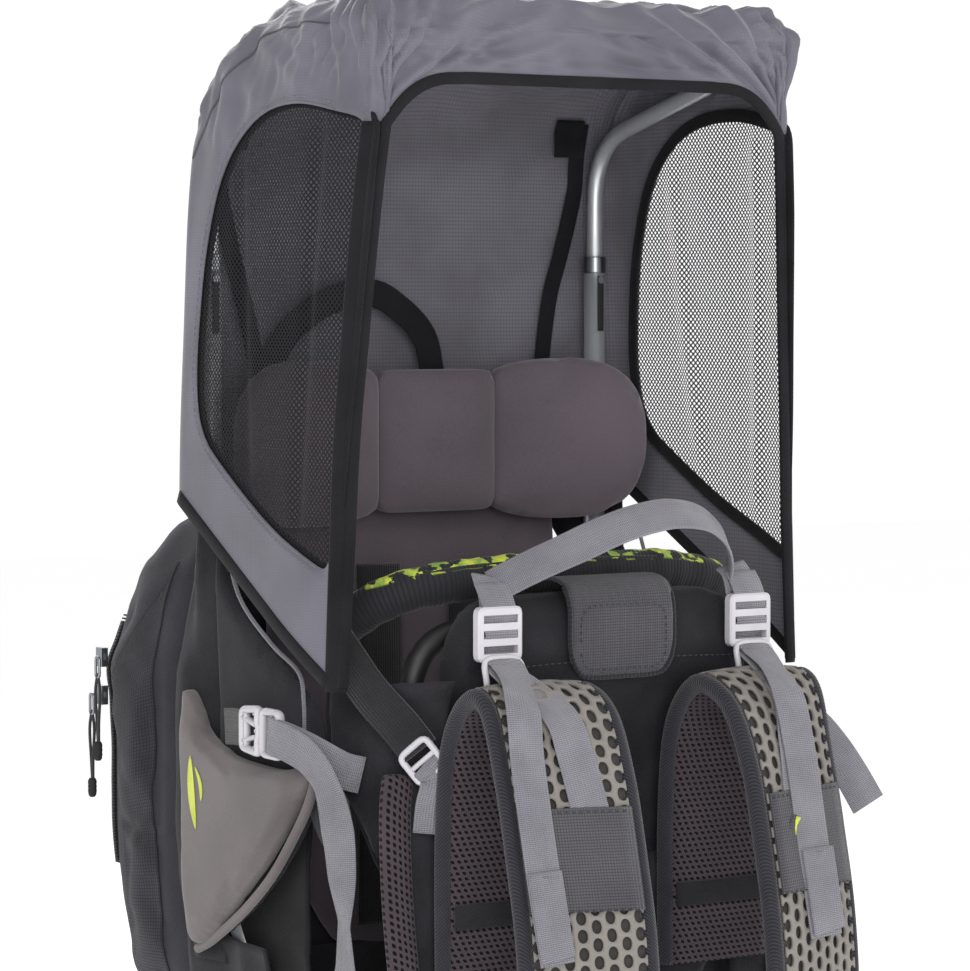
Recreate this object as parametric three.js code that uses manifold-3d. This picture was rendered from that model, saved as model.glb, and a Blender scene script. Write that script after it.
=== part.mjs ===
// Baby carrier backpack with a kickstand and a sunshade canopy.
// Millimetres. +Z is up, -Y is the side worn against the parent's back, +Y is the rear.
// The origin is on the floor, under the middle of the front foot.
import * as THREE from 'three';
import { mergeVertices } from 'three/addons/utils/BufferGeometryUtils.js';
import Module from 'manifold-3d';

const wasm = await Module();
wasm.setup();

// ---------------------------------------------------------------- driving dimensions
const GAP = 0.3; // clearance between neighbouring pieces
const SIDES = { L: -1, R: 1 };

const FRAME = { halfWidth: 125, y: 28, top: 650, radius: 8, corner: 50 };
const FOOT = { halfWidth: 150, depth: 40, height: 30 };
const HUB = { inner: 133.3, outer: 147, z: 290 };
const PIVOT = { y: 165, z: 270, radius: 5 };
const POST = { x: 162, y: 238, top: 900, footX: 148, footY: 172, radius: 8, bore: 6.6 };
const STAND = { x: 163, footY: 330, footZ: 12, radius: 7, sleeve: 12 };
const PANEL = { halfWidth: 124, top: 679, bottom: 128, front: -33, back: 14 };
const SEAT_BACK = { halfWidth: 140, front: 222, back: 246, bottom: 390, top: 714 };
const HEADREST = { halfWidth: 172, bottom: 708, top: 829, seam: 47, back: 221.5, thick: 36 };
const BAG = { front: 256, bottom: 310, top: 728 };
const CANOPY = {
  cloth: 3, depth: 251, frontRadius: 5, frontHem: 617, rearHem: 735,
  hoopRadius: 6, hoopFrontY: 13, hoopFrontZ: 1040, travel: 35,
};
const BUTTON = { z: 884, radius: 2.8, bore: 3.4, length: 3.4 };
const STRAP = { x: 88, width: 92, thick: 14 };
const WEBBING = { width: 25, thick: 2.6 };
const LADDER_LOCK = { x: 100, width: 34, height: 36, thick: 8, z: 653, y: -42 };

// ---------------------------------------------------------------- materials
const surface = (color, roughness, metalness = 0) =>
  new THREE.MeshStandardMaterial({ color, roughness, metalness });
const MATERIAL = {
  aluminium: surface(0xb9bcc0, 0.35, 0.9),
  steel: surface(0x8f9296, 0.35, 0.9),
  blackPlastic: surface(0x1b1c1e, 0.5),
  rubber: surface(0x18181a, 0.85),
  blackCloth: surface(0x202124, 0.85),
  gridCloth: surface(0x4a4b50, 0.8),
  canopyCloth: surface(0x77797f, 0.55),
  meshCloth: surface(0x2c2c30, 0.9),
  charcoalCloth: surface(0x46424a, 0.75),
  taupeCloth: surface(0x77706f, 0.75),
  foam: surface(0x8d8a88, 0.8),
  airMesh: surface(0x2b272b, 0.95),
  webbing: surface(0x6f7176, 0.75),
  greyPlastic: surface(0xb5b3b8, 0.45),
  pattern: surface(0x3c4034, 0.8),
};

const carrier = new THREE.Group();

function addPart(name, geometry, material) {
  const part = new THREE.Mesh(geometry, material);
  part.name = name;
  carrier.add(part);
  return part;
}

// ---------------------------------------------------------------- shape helpers
function toSolid(geometry) {
  const bare = geometry.clone();
  bare.deleteAttribute('normal');
  bare.deleteAttribute('uv');
  const merged = mergeVertices(bare, 1e-4);
  const vertProperties = new Float32Array(merged.attributes.position.array);
  const triVerts = new Uint32Array(merged.index.array);
  return new wasm.Manifold(new wasm.Mesh({ numProp: 3, vertProperties, triVerts }));
}

function toGeometry(solid) {
  const mesh = solid.getMesh();
  const geometry = new THREE.BufferGeometry();
  geometry.setAttribute('position', new THREE.BufferAttribute(new Float32Array(mesh.vertProperties), 3));
  geometry.setIndex(new THREE.BufferAttribute(new Uint32Array(mesh.triVerts), 1));
  geometry.computeVertexNormals();
  return geometry;
}

const cut = (body, ...tools) =>
  toGeometry(tools.reduce((solid, tool) => solid.subtract(toSolid(tool)), toSolid(body)));
const join = (...bodies) =>
  toGeometry(bodies.map(toSolid).reduce((whole, solid) => whole.add(solid)));

const point2 = ([x, y]) => new THREE.Vector2(x, y);
const point3 = ([x, y, z]) => new THREE.Vector3(x, y, z);

// A closed outline through corner points, each corner rounded by a quadratic curve.
function roundedOutline(corners, radius) {
  const shape = new THREE.Shape();
  const points = corners.map(point2);
  points.forEach((corner, i) => {
    const before = points[(i + points.length - 1) % points.length];
    const after = points[(i + 1) % points.length];
    const reachIn = Math.min(radius, corner.distanceTo(before) * 0.48);
    const reachOut = Math.min(radius, corner.distanceTo(after) * 0.48);
    const entry = before.clone().sub(corner).setLength(reachIn).add(corner);
    const exit = after.clone().sub(corner).setLength(reachOut).add(corner);
    if (i === 0) shape.moveTo(entry.x, entry.y);
    else shape.lineTo(entry.x, entry.y);
    shape.quadraticCurveTo(corner.x, corner.y, exit.x, exit.y);
  });
  shape.closePath();
  return shape;
}

const rectangle = (x0, y0, x1, y1) => [[x0, y0], [x1, y0], [x1, y1], [x0, y1]];

function extrude(shape, depth, bevel = 0, curveSegments = 3) {
  return new THREE.ExtrudeGeometry(shape, {
    depth: depth - 2 * bevel,
    bevelEnabled: bevel > 0,
    bevelThickness: bevel,
    bevelSize: bevel,
    bevelOffset: -bevel,
    bevelSegments: 1,
    curveSegments,
  }).translate(0, 0, bevel);
}

// Plates whose outline is drawn in the YZ, XZ or XY plane.
function plateX(outlineYZ, x0, x1, bevel = 0, curveSegments = 3) {
  const axes = new THREE.Matrix4().makeBasis(
    new THREE.Vector3(0, 1, 0), new THREE.Vector3(0, 0, 1), new THREE.Vector3(1, 0, 0));
  return extrude(outlineYZ, x1 - x0, bevel, curveSegments).applyMatrix4(axes).translate(x0, 0, 0);
}

function plateY(outlineXZ, y0, y1, bevel = 0, curveSegments = 3) {
  return extrude(outlineXZ, y1 - y0, bevel, curveSegments).rotateX(Math.PI / 2).translate(0, y1, 0);
}

function plateZ(outlineXY, z0, z1, bevel = 0, curveSegments = 3) {
  return extrude(outlineXY, z1 - z0, bevel, curveSegments).translate(0, 0, z0);
}

// The same plate on either side of the carrier: side -1 is x < 0, side +1 is x > 0.
const sidePlate = (outline, side, near, far, bevel = 0, curveSegments = 3) =>
  plateX(outline, Math.min(side * near, side * far), Math.max(side * near, side * far), bevel, curveSegments);

const sideBox = (side, near, y0, z0, far, y1, z1) =>
  box(Math.min(side * near, side * far), y0, z0, Math.max(side * near, side * far), y1, z1);

const sideRod = (side, near, far, y, z, radius, sides) =>
  rodX(Math.min(side * near, side * far), Math.max(side * near, side * far), y, z, radius, sides);

const box = (x0, y0, z0, x1, y1, z1) =>
  new THREE.BoxGeometry(x1 - x0, y1 - y0, z1 - z0).translate((x0 + x1) / 2, (y0 + y1) / 2, (z0 + z1) / 2);

const rodX = (x0, x1, y, z, radius, sides = 20) =>
  new THREE.CylinderGeometry(radius, radius, x1 - x0, sides)
    .rotateZ(Math.PI / 2).translate((x0 + x1) / 2, y, z);

const rodY = (y0, y1, x, z, radius, sides = 16) =>
  new THREE.CylinderGeometry(radius, radius, y1 - y0, sides).translate(x, (y0 + y1) / 2, z);

const rodZ = (z0, z1, x, y, radius, sides = 20) =>
  new THREE.CylinderGeometry(radius, radius, z1 - z0, sides)
    .rotateX(Math.PI / 2).translate(x, y, (z0 + z1) / 2);

// A path of straight runs joined by curved bends. Each run is one step of a sweep, each bend a few.
class BentPath extends THREE.Curve {
  constructor(corners, bendRadius, bendSteps = 4) {
    super();
    this.pieces = [];
    const points = corners.map(point3);
    let start = points[0];
    for (let i = 1; i < points.length - 1; i += 1) {
      const reachIn = Math.min(bendRadius, points[i].distanceTo(points[i - 1]) * 0.49);
      const reachOut = Math.min(bendRadius, points[i].distanceTo(points[i + 1]) * 0.49);
      const entry = points[i - 1].clone().sub(points[i]).setLength(reachIn).add(points[i]);
      const exit = points[i + 1].clone().sub(points[i]).setLength(reachOut).add(points[i]);
      const bend = new THREE.QuadraticBezierCurve3(entry, points[i], exit);
      this.pieces.push(new THREE.LineCurve3(start, entry));
      for (let k = 0; k < bendSteps; k += 1) this.pieces.push([bend, k / bendSteps, 1 / bendSteps]);
      start = exit;
    }
    this.pieces.push(new THREE.LineCurve3(start, points[points.length - 1]));
  }

  get steps() {
    return this.pieces.length;
  }

  getPoint(t) {
    const scaled = Math.min(t * this.steps, this.steps - 1e-9);
    const piece = this.pieces[Math.floor(scaled)];
    const within = scaled - Math.floor(scaled);
    return Array.isArray(piece) ? piece[0].getPoint(piece[1] + within * piece[2]) : piece.getPoint(within);
  }

  getPointAt(u) {
    return this.getPoint(u);
  }

  getTangentAt(u) {
    return this.getTangent(u);
  }
}

function sweep(path, outline, steps, curveSegments = 6) {
  return new THREE.ExtrudeGeometry(outline, { steps, bevelEnabled: false, extrudePath: path, curveSegments });
}

function ring(outer, inner = 0) {
  const shape = new THREE.Shape().absarc(0, 0, outer, 0, 2 * Math.PI);
  if (inner > 0) shape.holes.push(new THREE.Path().absarc(0, 0, inner, 0, 2 * Math.PI, true));
  return shape;
}

function tube(corners, outer, bendRadius, inner = 0) {
  const path = new BentPath(corners, bendRadius);
  return sweep(path, ring(outer, inner), path.steps);
}

// A solid through closed rings of equal length, with a flat cap at each end.
function loft(rings) {
  const count = rings[0].length;
  const positions = rings.flat().flatMap((p) => [p.x, p.y, p.z]);
  const index = [];
  for (let r = 0; r < rings.length - 1; r += 1) {
    for (let i = 0; i < count; i += 1) {
      const next = (i + 1) % count;
      const a = r * count + i;
      const b = r * count + next;
      index.push(a, b, a + count, b, b + count, a + count);
    }
  }
  const flat = rings[0].map((p) => new THREE.Vector2(p.x, p.y));
  const last = rings[rings.length - 1].map((p) => new THREE.Vector2(p.x, p.y));
  const offset = (rings.length - 1) * count;
  THREE.ShapeUtils.triangulateShape(flat, []).forEach(([a, b, c]) => index.push(a, c, b));
  THREE.ShapeUtils.triangulateShape(last, []).forEach(([a, b, c]) =>
    index.push(offset + a, offset + b, offset + c));
  const geometry = new THREE.BufferGeometry();
  geometry.setAttribute('position', new THREE.Float32BufferAttribute(positions, 3));
  geometry.setIndex(index);
  geometry.computeVertexNormals();
  return geometry;
}

// A rounded rectangle in a horizontal plane, as a ring of points.
function levelRing(halfWidth, y0, y1, radius, z, arcPoints = 4, frontRadius = radius) {
  const corners = [
    [halfWidth - frontRadius, y0 + frontRadius, frontRadius, -90],
    [halfWidth - radius, y1 - radius, radius, 0],
    [radius - halfWidth, y1 - radius, radius, 90],
    [frontRadius - halfWidth, y0 + frontRadius, frontRadius, 180],
  ];
  return corners.flatMap(([x, y, arc, startAngle]) =>
    Array.from({ length: arcPoints }, (_, i) => {
      const angle = THREE.MathUtils.degToRad(startAngle + (90 * i) / (arcPoints - 1));
      return new THREE.Vector3(x + arc * Math.cos(angle), y + arc * Math.sin(angle), z);
    }));
}

// A strip of constant thickness along a smooth line in the YZ plane, as wide as x1 - x0.
function stripX(line, thick, x0, x1, divisions = 24, bevel = 0) {
  const curve = new THREE.SplineCurve(line.map(point2));
  const upper = [];
  const lower = [];
  for (let i = 0; i <= divisions; i += 1) {
    const t = i / divisions;
    const at = curve.getPointAt(t);
    const along = curve.getTangentAt(t);
    const normal = new THREE.Vector2(-along.y, along.x).multiplyScalar(thick / 2);
    upper.push(at.clone().add(normal));
    lower.push(at.clone().sub(normal));
  }
  return plateX(new THREE.Shape([...upper, ...lower.reverse()]), x0, x1, bevel);
}

// ---------------------------------------------------------------- frame, foot and hubs
function addFrame() {
  const { halfWidth: w, y, top, radius, corner } = FRAME;
  const bottom = FOOT.height - 12;
  addPart('back_frame', tube([[-w, 0, bottom], [-w, 0, 60], [-w, y, 190], [-w, y, top],
    [w, y, top], [w, y, 190], [w, 0, 60], [w, 0, bottom]], radius, corner), MATERIAL.aluminium);

  const bar = roundedOutline(rectangle(-FOOT.halfWidth, -FOOT.depth / 2, FOOT.halfWidth, FOOT.depth / 2), 14);
  const sockets = [-w, w].map((x) => rodZ(bottom - GAP, 50, x, 0, radius + GAP, 24));
  addPart('front_foot', cut(plateZ(bar, 0, FOOT.height, 3), ...sockets), MATERIAL.rubber);

  const reach = w - radius - GAP;
  addPart('cross_bar', box(-reach, y - 3, 212, reach, y + 3, 236), MATERIAL.aluminium);
}

function addHub(label, side) {
  const { inner, outer, z } = HUB;
  const armFront = PANEL.back + 2;
  const arm = roundedOutline([[armFront, z - 45], [PIVOT.y + 2, PIVOT.z - 22], [PIVOT.y + 24, PIVOT.z],
    [PIVOT.y + 24, z + 45], [PIVOT.y - 14, z + 45], [60, z + 12], [44, z + 40], [armFront, z + 40]], 12);
  const clamp = sideBox(side, 113, PANEL.back + GAP, z - 38, 140, 43, z + 34);
  const socket = sideBox(side, POST.footX - 12, POST.footY - 13, z + 4,
    POST.footX + 12, POST.footY + 13, z + 45);
  const body = join(sidePlate(arm, side, inner, outer), clamp, socket);
  const holes = [
    rodZ(z - 60, z + 60, side * FRAME.halfWidth, FRAME.y, FRAME.radius + GAP, 24),
    rodZ(z + 12, z + 60, side * POST.footX, POST.footY, POST.radius + GAP, 24),
    sideRod(side, 130, 170, PIVOT.y, PIVOT.z, PIVOT.radius + GAP, 24),
  ];
  addPart(`hub_${label}`, cut(body, ...holes), MATERIAL.blackPlastic);
}

function addRearPost(label, side) {
  const footX = side * POST.footX;
  const x = side * POST.x;
  const path = [[footX, POST.footY, HUB.z + 12 + GAP], [footX, POST.footY, 378],
    [x, POST.y, 472], [x, POST.y, POST.top]];
  const post = tube(path, POST.radius, 40, POST.bore);
  // The button's slot is as long as the canopy's travel.
  const { z, bore } = BUTTON;
  const slot = box(x - bore, POST.y - 12, z - CANOPY.travel - bore, x + bore, POST.y - 4, z + bore);
  addPart(`rear_post_${label}`, cut(post, slot), MATERIAL.aluminium);
}

// ---------------------------------------------------------------- kickstand
const LEG_LENGTH = Math.hypot(STAND.footY - PIVOT.y, PIVOT.z - STAND.footZ);
const LEG_ANGLE = Math.atan2(STAND.footY - PIVOT.y, PIVOT.z - STAND.footZ);

// Turns a shape drawn with its leg hanging straight down from the pivot into the open position.
const openStand = (geometry) =>
  geometry.rotateX(LEG_ANGLE).translate(0, PIVOT.y, PIVOT.z);

function addKickstand() {
  const x = STAND.x;
  const top = -24;
  const legs = tube([[-x, 0, top], [-x, 0, -LEG_LENGTH], [x, 0, -LEG_LENGTH], [x, 0, top]], STAND.radius, 45);
  addPart('kickstand_tube', openStand(legs), MATERIAL.aluminium);

  Object.entries(SIDES).forEach(([label, side]) => {
    const knuckleOutline = roundedOutline([[-14, 14], [-14, -62], [14, -62], [14, 14]], 13);
    const knuckle = cut(
      sidePlate(knuckleOutline, side, 152, 174, 2),
      sideRod(side, 140, 180, 0, 0, PIVOT.radius + GAP, 24),
      rodZ(-80, top + GAP, side * x, 0, STAND.radius + GAP, 24));
    addPart(`knuckle_${label}`, openStand(knuckle), MATERIAL.blackPlastic);

    const sleeve = cut(
      rodX(side * 80 - 34, side * 80 + 34, 0, -LEG_LENGTH, STAND.sleeve, 24),
      rodX(side * 80 - 40, side * 80 + 40, 0, -LEG_LENGTH, STAND.radius + GAP, 24));
    addPart(`kickstand_foot_${label}`, openStand(sleeve), MATERIAL.rubber);
  });
}

function addPivotPin(label, side) {
  const shank = sideRod(side, 134, 176, PIVOT.y, PIVOT.z, PIVOT.radius);
  const head = sideRod(side, 174.6, 178, PIVOT.y, PIVOT.z, 9);
  addPart(`pivot_pin_${label}`, join(shank, head), MATERIAL.steel);
}

// ---------------------------------------------------------------- back panel and pads
function addBackPanel() {
  // Side profile: leans forward at the top, hollow behind the shoulders, full at the lumbar.
  const profile = new THREE.Shape();
  profile.moveTo(PANEL.back, PANEL.bottom);
  profile.lineTo(PANEL.back, PANEL.top - 6);
  profile.quadraticCurveTo(PANEL.back - 3, PANEL.top, -8, PANEL.top);
  profile.quadraticCurveTo(PANEL.front, PANEL.top, PANEL.front, 655);
  profile.quadraticCurveTo(PANEL.front + 1, 622, -12, 596);
  profile.quadraticCurveTo(-4, 580, -4, 540);
  profile.lineTo(-4, 320);
  profile.quadraticCurveTo(-6, 250, -16, 220);
  profile.quadraticCurveTo(-20, 160, -10, PANEL.bottom);
  const slab = plateX(profile, -PANEL.halfWidth - 10, PANEL.halfWidth + 10, 0, 6);
  const front = roundedOutline([[-100, 120], [100, 120], [PANEL.halfWidth + 1, 200],
    [PANEL.halfWidth + 1, 600], [104, PANEL.top + 1], [-104, PANEL.top + 1],
    [-PANEL.halfWidth - 1, 600], [-PANEL.halfWidth - 1, 200]], 40);
  const mask = plateY(front, -60, 40, 0, 8);
  addPart('back_panel', toGeometry(toSolid(slab).intersect(toSolid(mask))), MATERIAL.blackCloth);

  const backPad = roundedOutline(rectangle(-88, 256, 88, 312), 22);
  addPart('back_pad', plateY(backPad, -26, -10, 5), MATERIAL.airMesh);
  const lumbarPad = roundedOutline(rectangle(-84, 142, 84, 250), 26);
  addPart('lumbar_pad', plateY(lumbarPad, -46, -24, 7), MATERIAL.airMesh);
  const flap = roundedOutline(rectangle(-40, 621, 40, 675), 14);
  addPart('panel_flap', plateY(flap, -38, -34, 1), MATERIAL.gridCloth);
}

function addBumper() {
  const line = new THREE.CatmullRomCurve3([[-150, 96, 640], [-136, 52, 668], [-92, 34, 681], [0, 31, 684],
    [92, 34, 681], [136, 52, 668], [150, 96, 640]].map(point3));
  const section = new THREE.Shape().absellipse(0, 0, 14, 14, 0, 2 * Math.PI);
  addPart('front_bumper', sweep(line, section, 24, 5), MATERIAL.pattern);
}

// ---------------------------------------------------------------- buckles
function addLadderLock(label, side) {
  const { x, y, z, width, height, thick } = LADDER_LOCK;
  const outline = roundedOutline(rectangle(-width / 2, -height / 2, width / 2, height / 2), 5);
  const body = plateY(outline, -thick / 2, thick / 2, 1.2);
  const slotHalf = width / 2 - 4;
  const slots = [-10, 0, 10].map((middle) =>
    box(-slotHalf, -thick, middle - 2.6, slotHalf, thick, middle + 2.6));
  addPart(`ladder_lock_${label}`, cut(body, ...slots).translate(side * x, y, z), MATERIAL.greyPlastic);
}

// Side-release buckle on the side panel: a hollow female body and a male half with two arms.
const CLIP = { y: 104, z: 580, x: 194, height: 34, thick: 10, femaleLength: 30, maleLength: 26 };

function addSideBuckle(label, side) {
  const { y, z, x, height, thick, femaleLength, maleLength } = CLIP;
  const half = height / 2;
  const shell = roundedOutline(rectangle(y, z - half, y + femaleLength, z + half), 5);
  const female = cut(
    sidePlate(shell, side, x - thick / 2, x + thick / 2, 1.5),
    sideBox(side, x - 3, y - 5, z - half + 4, x + 3, y + 16, z + half - 4),
    sideBox(side, x - 20, y + 19, z - half + 5, x + 20, y + 22.5, z + half - 5));
  addPart(`side_buckle_${label}`, female, MATERIAL.greyPlastic);

  const bar = roundedOutline(rectangle(y - 1 - maleLength, z - half, y - 1, z + half), 5);
  const webbingSlot = sideBox(side, x - 20, y - 21, z - half + 5, x + 20, y - 17, z + half - 5);
  const male = join(
    cut(sidePlate(bar, side, x - 4, x + 4, 1.5), webbingSlot),
    sideBox(side, x - 2, y - 3, z - 12, x + 2, y + 14, z - 7),
    sideBox(side, x - 2, y - 3, z - 3, x + 2, y + 12, z + 3),
    sideBox(side, x - 2, y - 3, z + 7, x + 2, y + 14, z + 12));
  addPart(`side_clip_${label}`, male, MATERIAL.greyPlastic);
}

// ---------------------------------------------------------------- side panels, pockets and bags
const LEG_CURVE = [[53, 556], [90, 508], [122, 476], [162, 447], [207, 421]];

function addSidePanels(label, side) {
  const wing = roundedOutline([...LEG_CURVE, [222, 700], [190, 668], [150, 642], [106, 622], [66, 600]], 10);
  addPart(`side_wing_${label}`, sidePlate(wing, side, 165, 171, 1.5), MATERIAL.blackCloth);
  const pocket = roundedOutline([...LEG_CURVE, [232, 412], [244, 430], [250, 600],
    [214, 576], [163, 564], [66, 562]], 10);
  addPart(`side_pocket_${label}`, sidePlate(pocket, side, 171.5, 186, 2), MATERIAL.taupeCloth);
}

function addBags() {
  // Half width, rear, corner radius and height of each level.
  const rear = [
    [120, 330, 24, BAG.bottom], [150, 374, 30, 340], [163, 394, 34, 375], [170, 402, 36, 425],
    [176, 408, 36, 490], [176, 408, 36, 606], [169, 400, 36, 640], [158, 386, 36, 678],
    [138, 364, 34, 708], [112, 336, 24, BAG.top],
  ].map(([halfWidth, back, radius, z]) => levelRing(halfWidth, BAG.front, back, radius, z));
  addPart('rear_bag', loft(rear), MATERIAL.charcoalCloth);

  // Half width, front, rear, corner radius and height of each level.
  const base = [
    [96, 60, 214, 20, 84], [112, 48, 236, 28, 110], [115, 46, 246, 30, 200], [112, 48, 244, 28, 284],
  ].map(([halfWidth, front, back, radius, z]) => levelRing(halfWidth, front, back, radius, z));
  addPart('lower_bag', loft(base), MATERIAL.charcoalCloth);
}

// Zip sliders run up the bag's left rear edge; each carries a swinging pull.
const ZIP = { x: -174, y: 383, sliders: { top: 606, low: 578 } };
// hinge is how far outside ZIP.x each pull hangs, above how far it rises over its hinge.
const PULL = { hinge: 9.5, thick: 4, width: 7, length: 76, above: 2.5, offset: { top: -5, low: 5 } };

function addZip(label, z) {
  const slider = cut(
    box(ZIP.x - 6, ZIP.y - 5, z - 7, ZIP.x - 1, ZIP.y + 5, z + 7),
    box(ZIP.x - 4.6, ZIP.y - 8, z - 2.5, ZIP.x - 2.4, ZIP.y + 8, z + 2.5));
  addPart(`zip_slider_${label}`, slider, MATERIAL.steel);
  const y = ZIP.y + PULL.offset[label];
  const half = PULL.width / 2;
  const outline = roundedOutline(rectangle(y - half, z - PULL.length, y + half, z + PULL.above), 2);
  const middle = ZIP.x - PULL.hinge;
  const plate = plateX(outline, middle - PULL.thick / 2, middle + PULL.thick / 2, 0.8);
  const eye = box(middle - 10, y - 1.8, z - 10, middle + 10, y + 1.8, z - 4);
  addPart(`zip_pull_${label}`, cut(plate, eye), MATERIAL.rubber);
}

// ---------------------------------------------------------------- child seat
function addSeat() {
  const { halfWidth: w, front, back, bottom, top } = SEAT_BACK;
  const shield = roundedOutline([[-70, bottom], [70, bottom], [w, 520], [w, top], [-w, top], [-w, 520]], 28);
  addPart('seat_back', plateY(shield, front, back, 7), MATERIAL.charcoalCloth);

  const { halfWidth, seam, back: rear, thick } = HEADREST;
  const outline = new THREE.Shape();
  outline.moveTo(-seam, rear - thick);
  outline.lineTo(seam, rear - thick);
  outline.quadraticCurveTo(125, rear - thick - 2, halfWidth, rear - 60);
  outline.quadraticCurveTo(halfWidth + 4, rear - 40, halfWidth - 8, rear - 25);
  outline.quadraticCurveTo(125, rear - 1, seam, rear);
  outline.lineTo(-seam, rear);
  outline.quadraticCurveTo(-125, rear - 1, 8 - halfWidth, rear - 25);
  outline.quadraticCurveTo(-halfWidth - 4, rear - 40, -halfWidth, rear - 60);
  outline.quadraticCurveTo(-125, rear - thick - 2, -seam, rear - thick);
  const curved = plateZ(outline, HEADREST.bottom, HEADREST.top, 4, 6);
  const face = roundedOutline([[-halfWidth - 1, 715], [0, 708], [halfWidth + 1, 715],
    [halfWidth + 1, 822], [100, 830], [0, 826], [-100, 830], [-halfWidth - 1, 822]], 50);
  const headrest = toSolid(curved).intersect(toSolid(plateY(face, 120, 260)));
  addPart('headrest', toGeometry(headrest), MATERIAL.charcoalCloth);

  const pad = roundedOutline([[-58, 52], [58, 52], [84, 200], [-84, 200]], 30);
  addPart('seat_pad', plateZ(pad, 330, 356, 8), MATERIAL.charcoalCloth);

  const buckle = plateZ(roundedOutline(rectangle(-22, 96, 22, 140), 12), 357, 371, 2);
  addPart('harness_buckle', cut(buckle, rodZ(366, 378, 0, 116, 8.4)), MATERIAL.blackPlastic);
  addPart('harness_button', rodZ(369, 374, 0, 116, 8), MATERIAL.greyPlastic);

  Object.entries(SIDES).forEach(([label, side]) => {
    const strap = stripX([[217, 420], [217, 560], [217, 680]], 4, side * 38 - 19, side * 38 + 19, 4, 1);
    addPart(`harness_strap_${label}`, strap, MATERIAL.webbing);
  });
}

// ---------------------------------------------------------------- canopy
const REAR_TAPER = 5; // the canopy is this much narrower at the rear, each side
// Half width at the front, front, rear, corner radius and height; the roof is slightly domed.
const CANOPY_LEVELS = [
  [193, 20, 251, 20, 560], [192, 18, 251, 20, 745], [188, 13, 251, 20, 850], [184, 7, 250, 20, 940],
  [180, 2, 243, 22, 1000], [178, -1, 215, 20, 1030], [175, 0, 178, 22, 1050], [158, 12, 150, 26, 1068],
];

function canopySkin(inset, lowest) {
  const rings = CANOPY_LEVELS.map(([halfWidth, front, rear, radius, z]) =>
    levelRing(halfWidth - inset, front + inset, rear - inset, radius - inset,
      z - inset * (z > 1000), 5, CANOPY.frontRadius - inset));
  rings[0].forEach((p) => { p.z = lowest; });
  rings.flat().forEach((p) => { p.x *= 1 - (REAR_TAPER * p.y) / (CANOPY_LEVELS[0][0] * CANOPY.depth); });
  return loft(rings);
}

// Side window outline (y, z): straight down the front binding, round at the rear, cut along the slanted hem.
const WINDOW = [[8, 986], [80, 1001], [140, 994], [186, 960], [208, 900], [216, 820],
  [206, 776], [162, 750], [105, 720], [26, 690]];

function addCanopy() {
  const hem = new THREE.Shape([[-60, 500], [300, 500], [300, CANOPY.rearHem + 10], [246, CANOPY.rearHem],
    [24, CANOPY.frontHem], [-60, CANOPY.frontHem]].map(point2));
  const belowHem = plateX(hem, -230, 230);
  const arch = new THREE.Shape();
  arch.moveTo(-178, 540);
  arch.lineTo(178, 540);
  arch.lineTo(152, 975);
  arch.quadraticCurveTo(146, 1004, 110, 1010);
  arch.quadraticCurveTo(0, 1022, -110, 1010);
  arch.quadraticCurveTo(-146, 1004, -152, 975);
  arch.closePath();
  const opening = plateY(arch, -60, 60, 0, 6);
  const windowCut = plateX(roundedOutline(WINDOW, 8), -230, 230, 0, 3);
  const skin = toSolid(canopySkin(0, 560)).subtract(toSolid(canopySkin(CANOPY.cloth, 540)));
  const cloth = skin.subtract(toSolid(belowHem)).subtract(toSolid(opening)).subtract(toSolid(windowCut));
  addPart('canopy_fabric', toGeometry(cloth), MATERIAL.canopyCloth);

  const centre = new THREE.Vector2(130, 860);
  const shrunk = WINDOW.map(([y, z]) => {
    const p = new THREE.Vector2(y, z);
    return p.sub(centre).multiplyScalar(0.993).add(centre).toArray();
  });
  const sheet = toSolid(canopySkin(0.8, 560)).subtract(toSolid(canopySkin(2.2, 540)));
  Object.entries(SIDES).forEach(([label, side]) => {
    const filling = sidePlate(roundedOutline(shrunk, 8), side, 120, 230, 0, 3);
    const clearOfOpening = sheet.intersect(toSolid(filling)).subtract(toSolid(plateY(new THREE.Shape(
      [[-185, 500], [185, 500], [160, 1030], [-160, 1030]].map(point2)), -60, 40)));
    addPart(`canopy_mesh_${label}`, toGeometry(clearOfOpening), MATERIAL.meshCloth);
  });

  const { x, y } = POST;
  const hoopX = x - 3;
  const { hoopRadius, hoopFrontY, hoopFrontZ } = CANOPY;
  const hoop = tube([[-x, y, 812], [-x, y, 984], [-hoopX, hoopFrontY, hoopFrontZ],
    [hoopX, hoopFrontY, hoopFrontZ], [x, y, 984], [x, y, 812]], hoopRadius, 44);
  const buttonPockets = [-x, x].map((px) => rodY(y - 9, y, px, BUTTON.z, BUTTON.bore));
  addPart('canopy_hoop', cut(hoop, ...buttonPockets), MATERIAL.aluminium);
}

function addSnapButton(label, side) {
  const tip = POST.y - POST.radius - 1.6;
  const button = rodY(tip, tip + BUTTON.length, side * POST.x, BUTTON.z, BUTTON.radius);
  addPart(`snap_button_${label}`, button, MATERIAL.steel);
}

// ---------------------------------------------------------------- shoulder harness
const STERNUM = { z: 400, y: -145, near: 17, far: 118, height: 20 };
// Side line (y, z) of a shoulder strap, from the yoke over the shoulder to its lower end.
const STRAP_LINE = [[-22, 420], [-22, 520], [-30, 582], [-56, 613], [-84, 605], [-103, 565],
  [-117, 515], [-129, 460], [-133, 400], [-122, 335], [-98, 285]];

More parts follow.
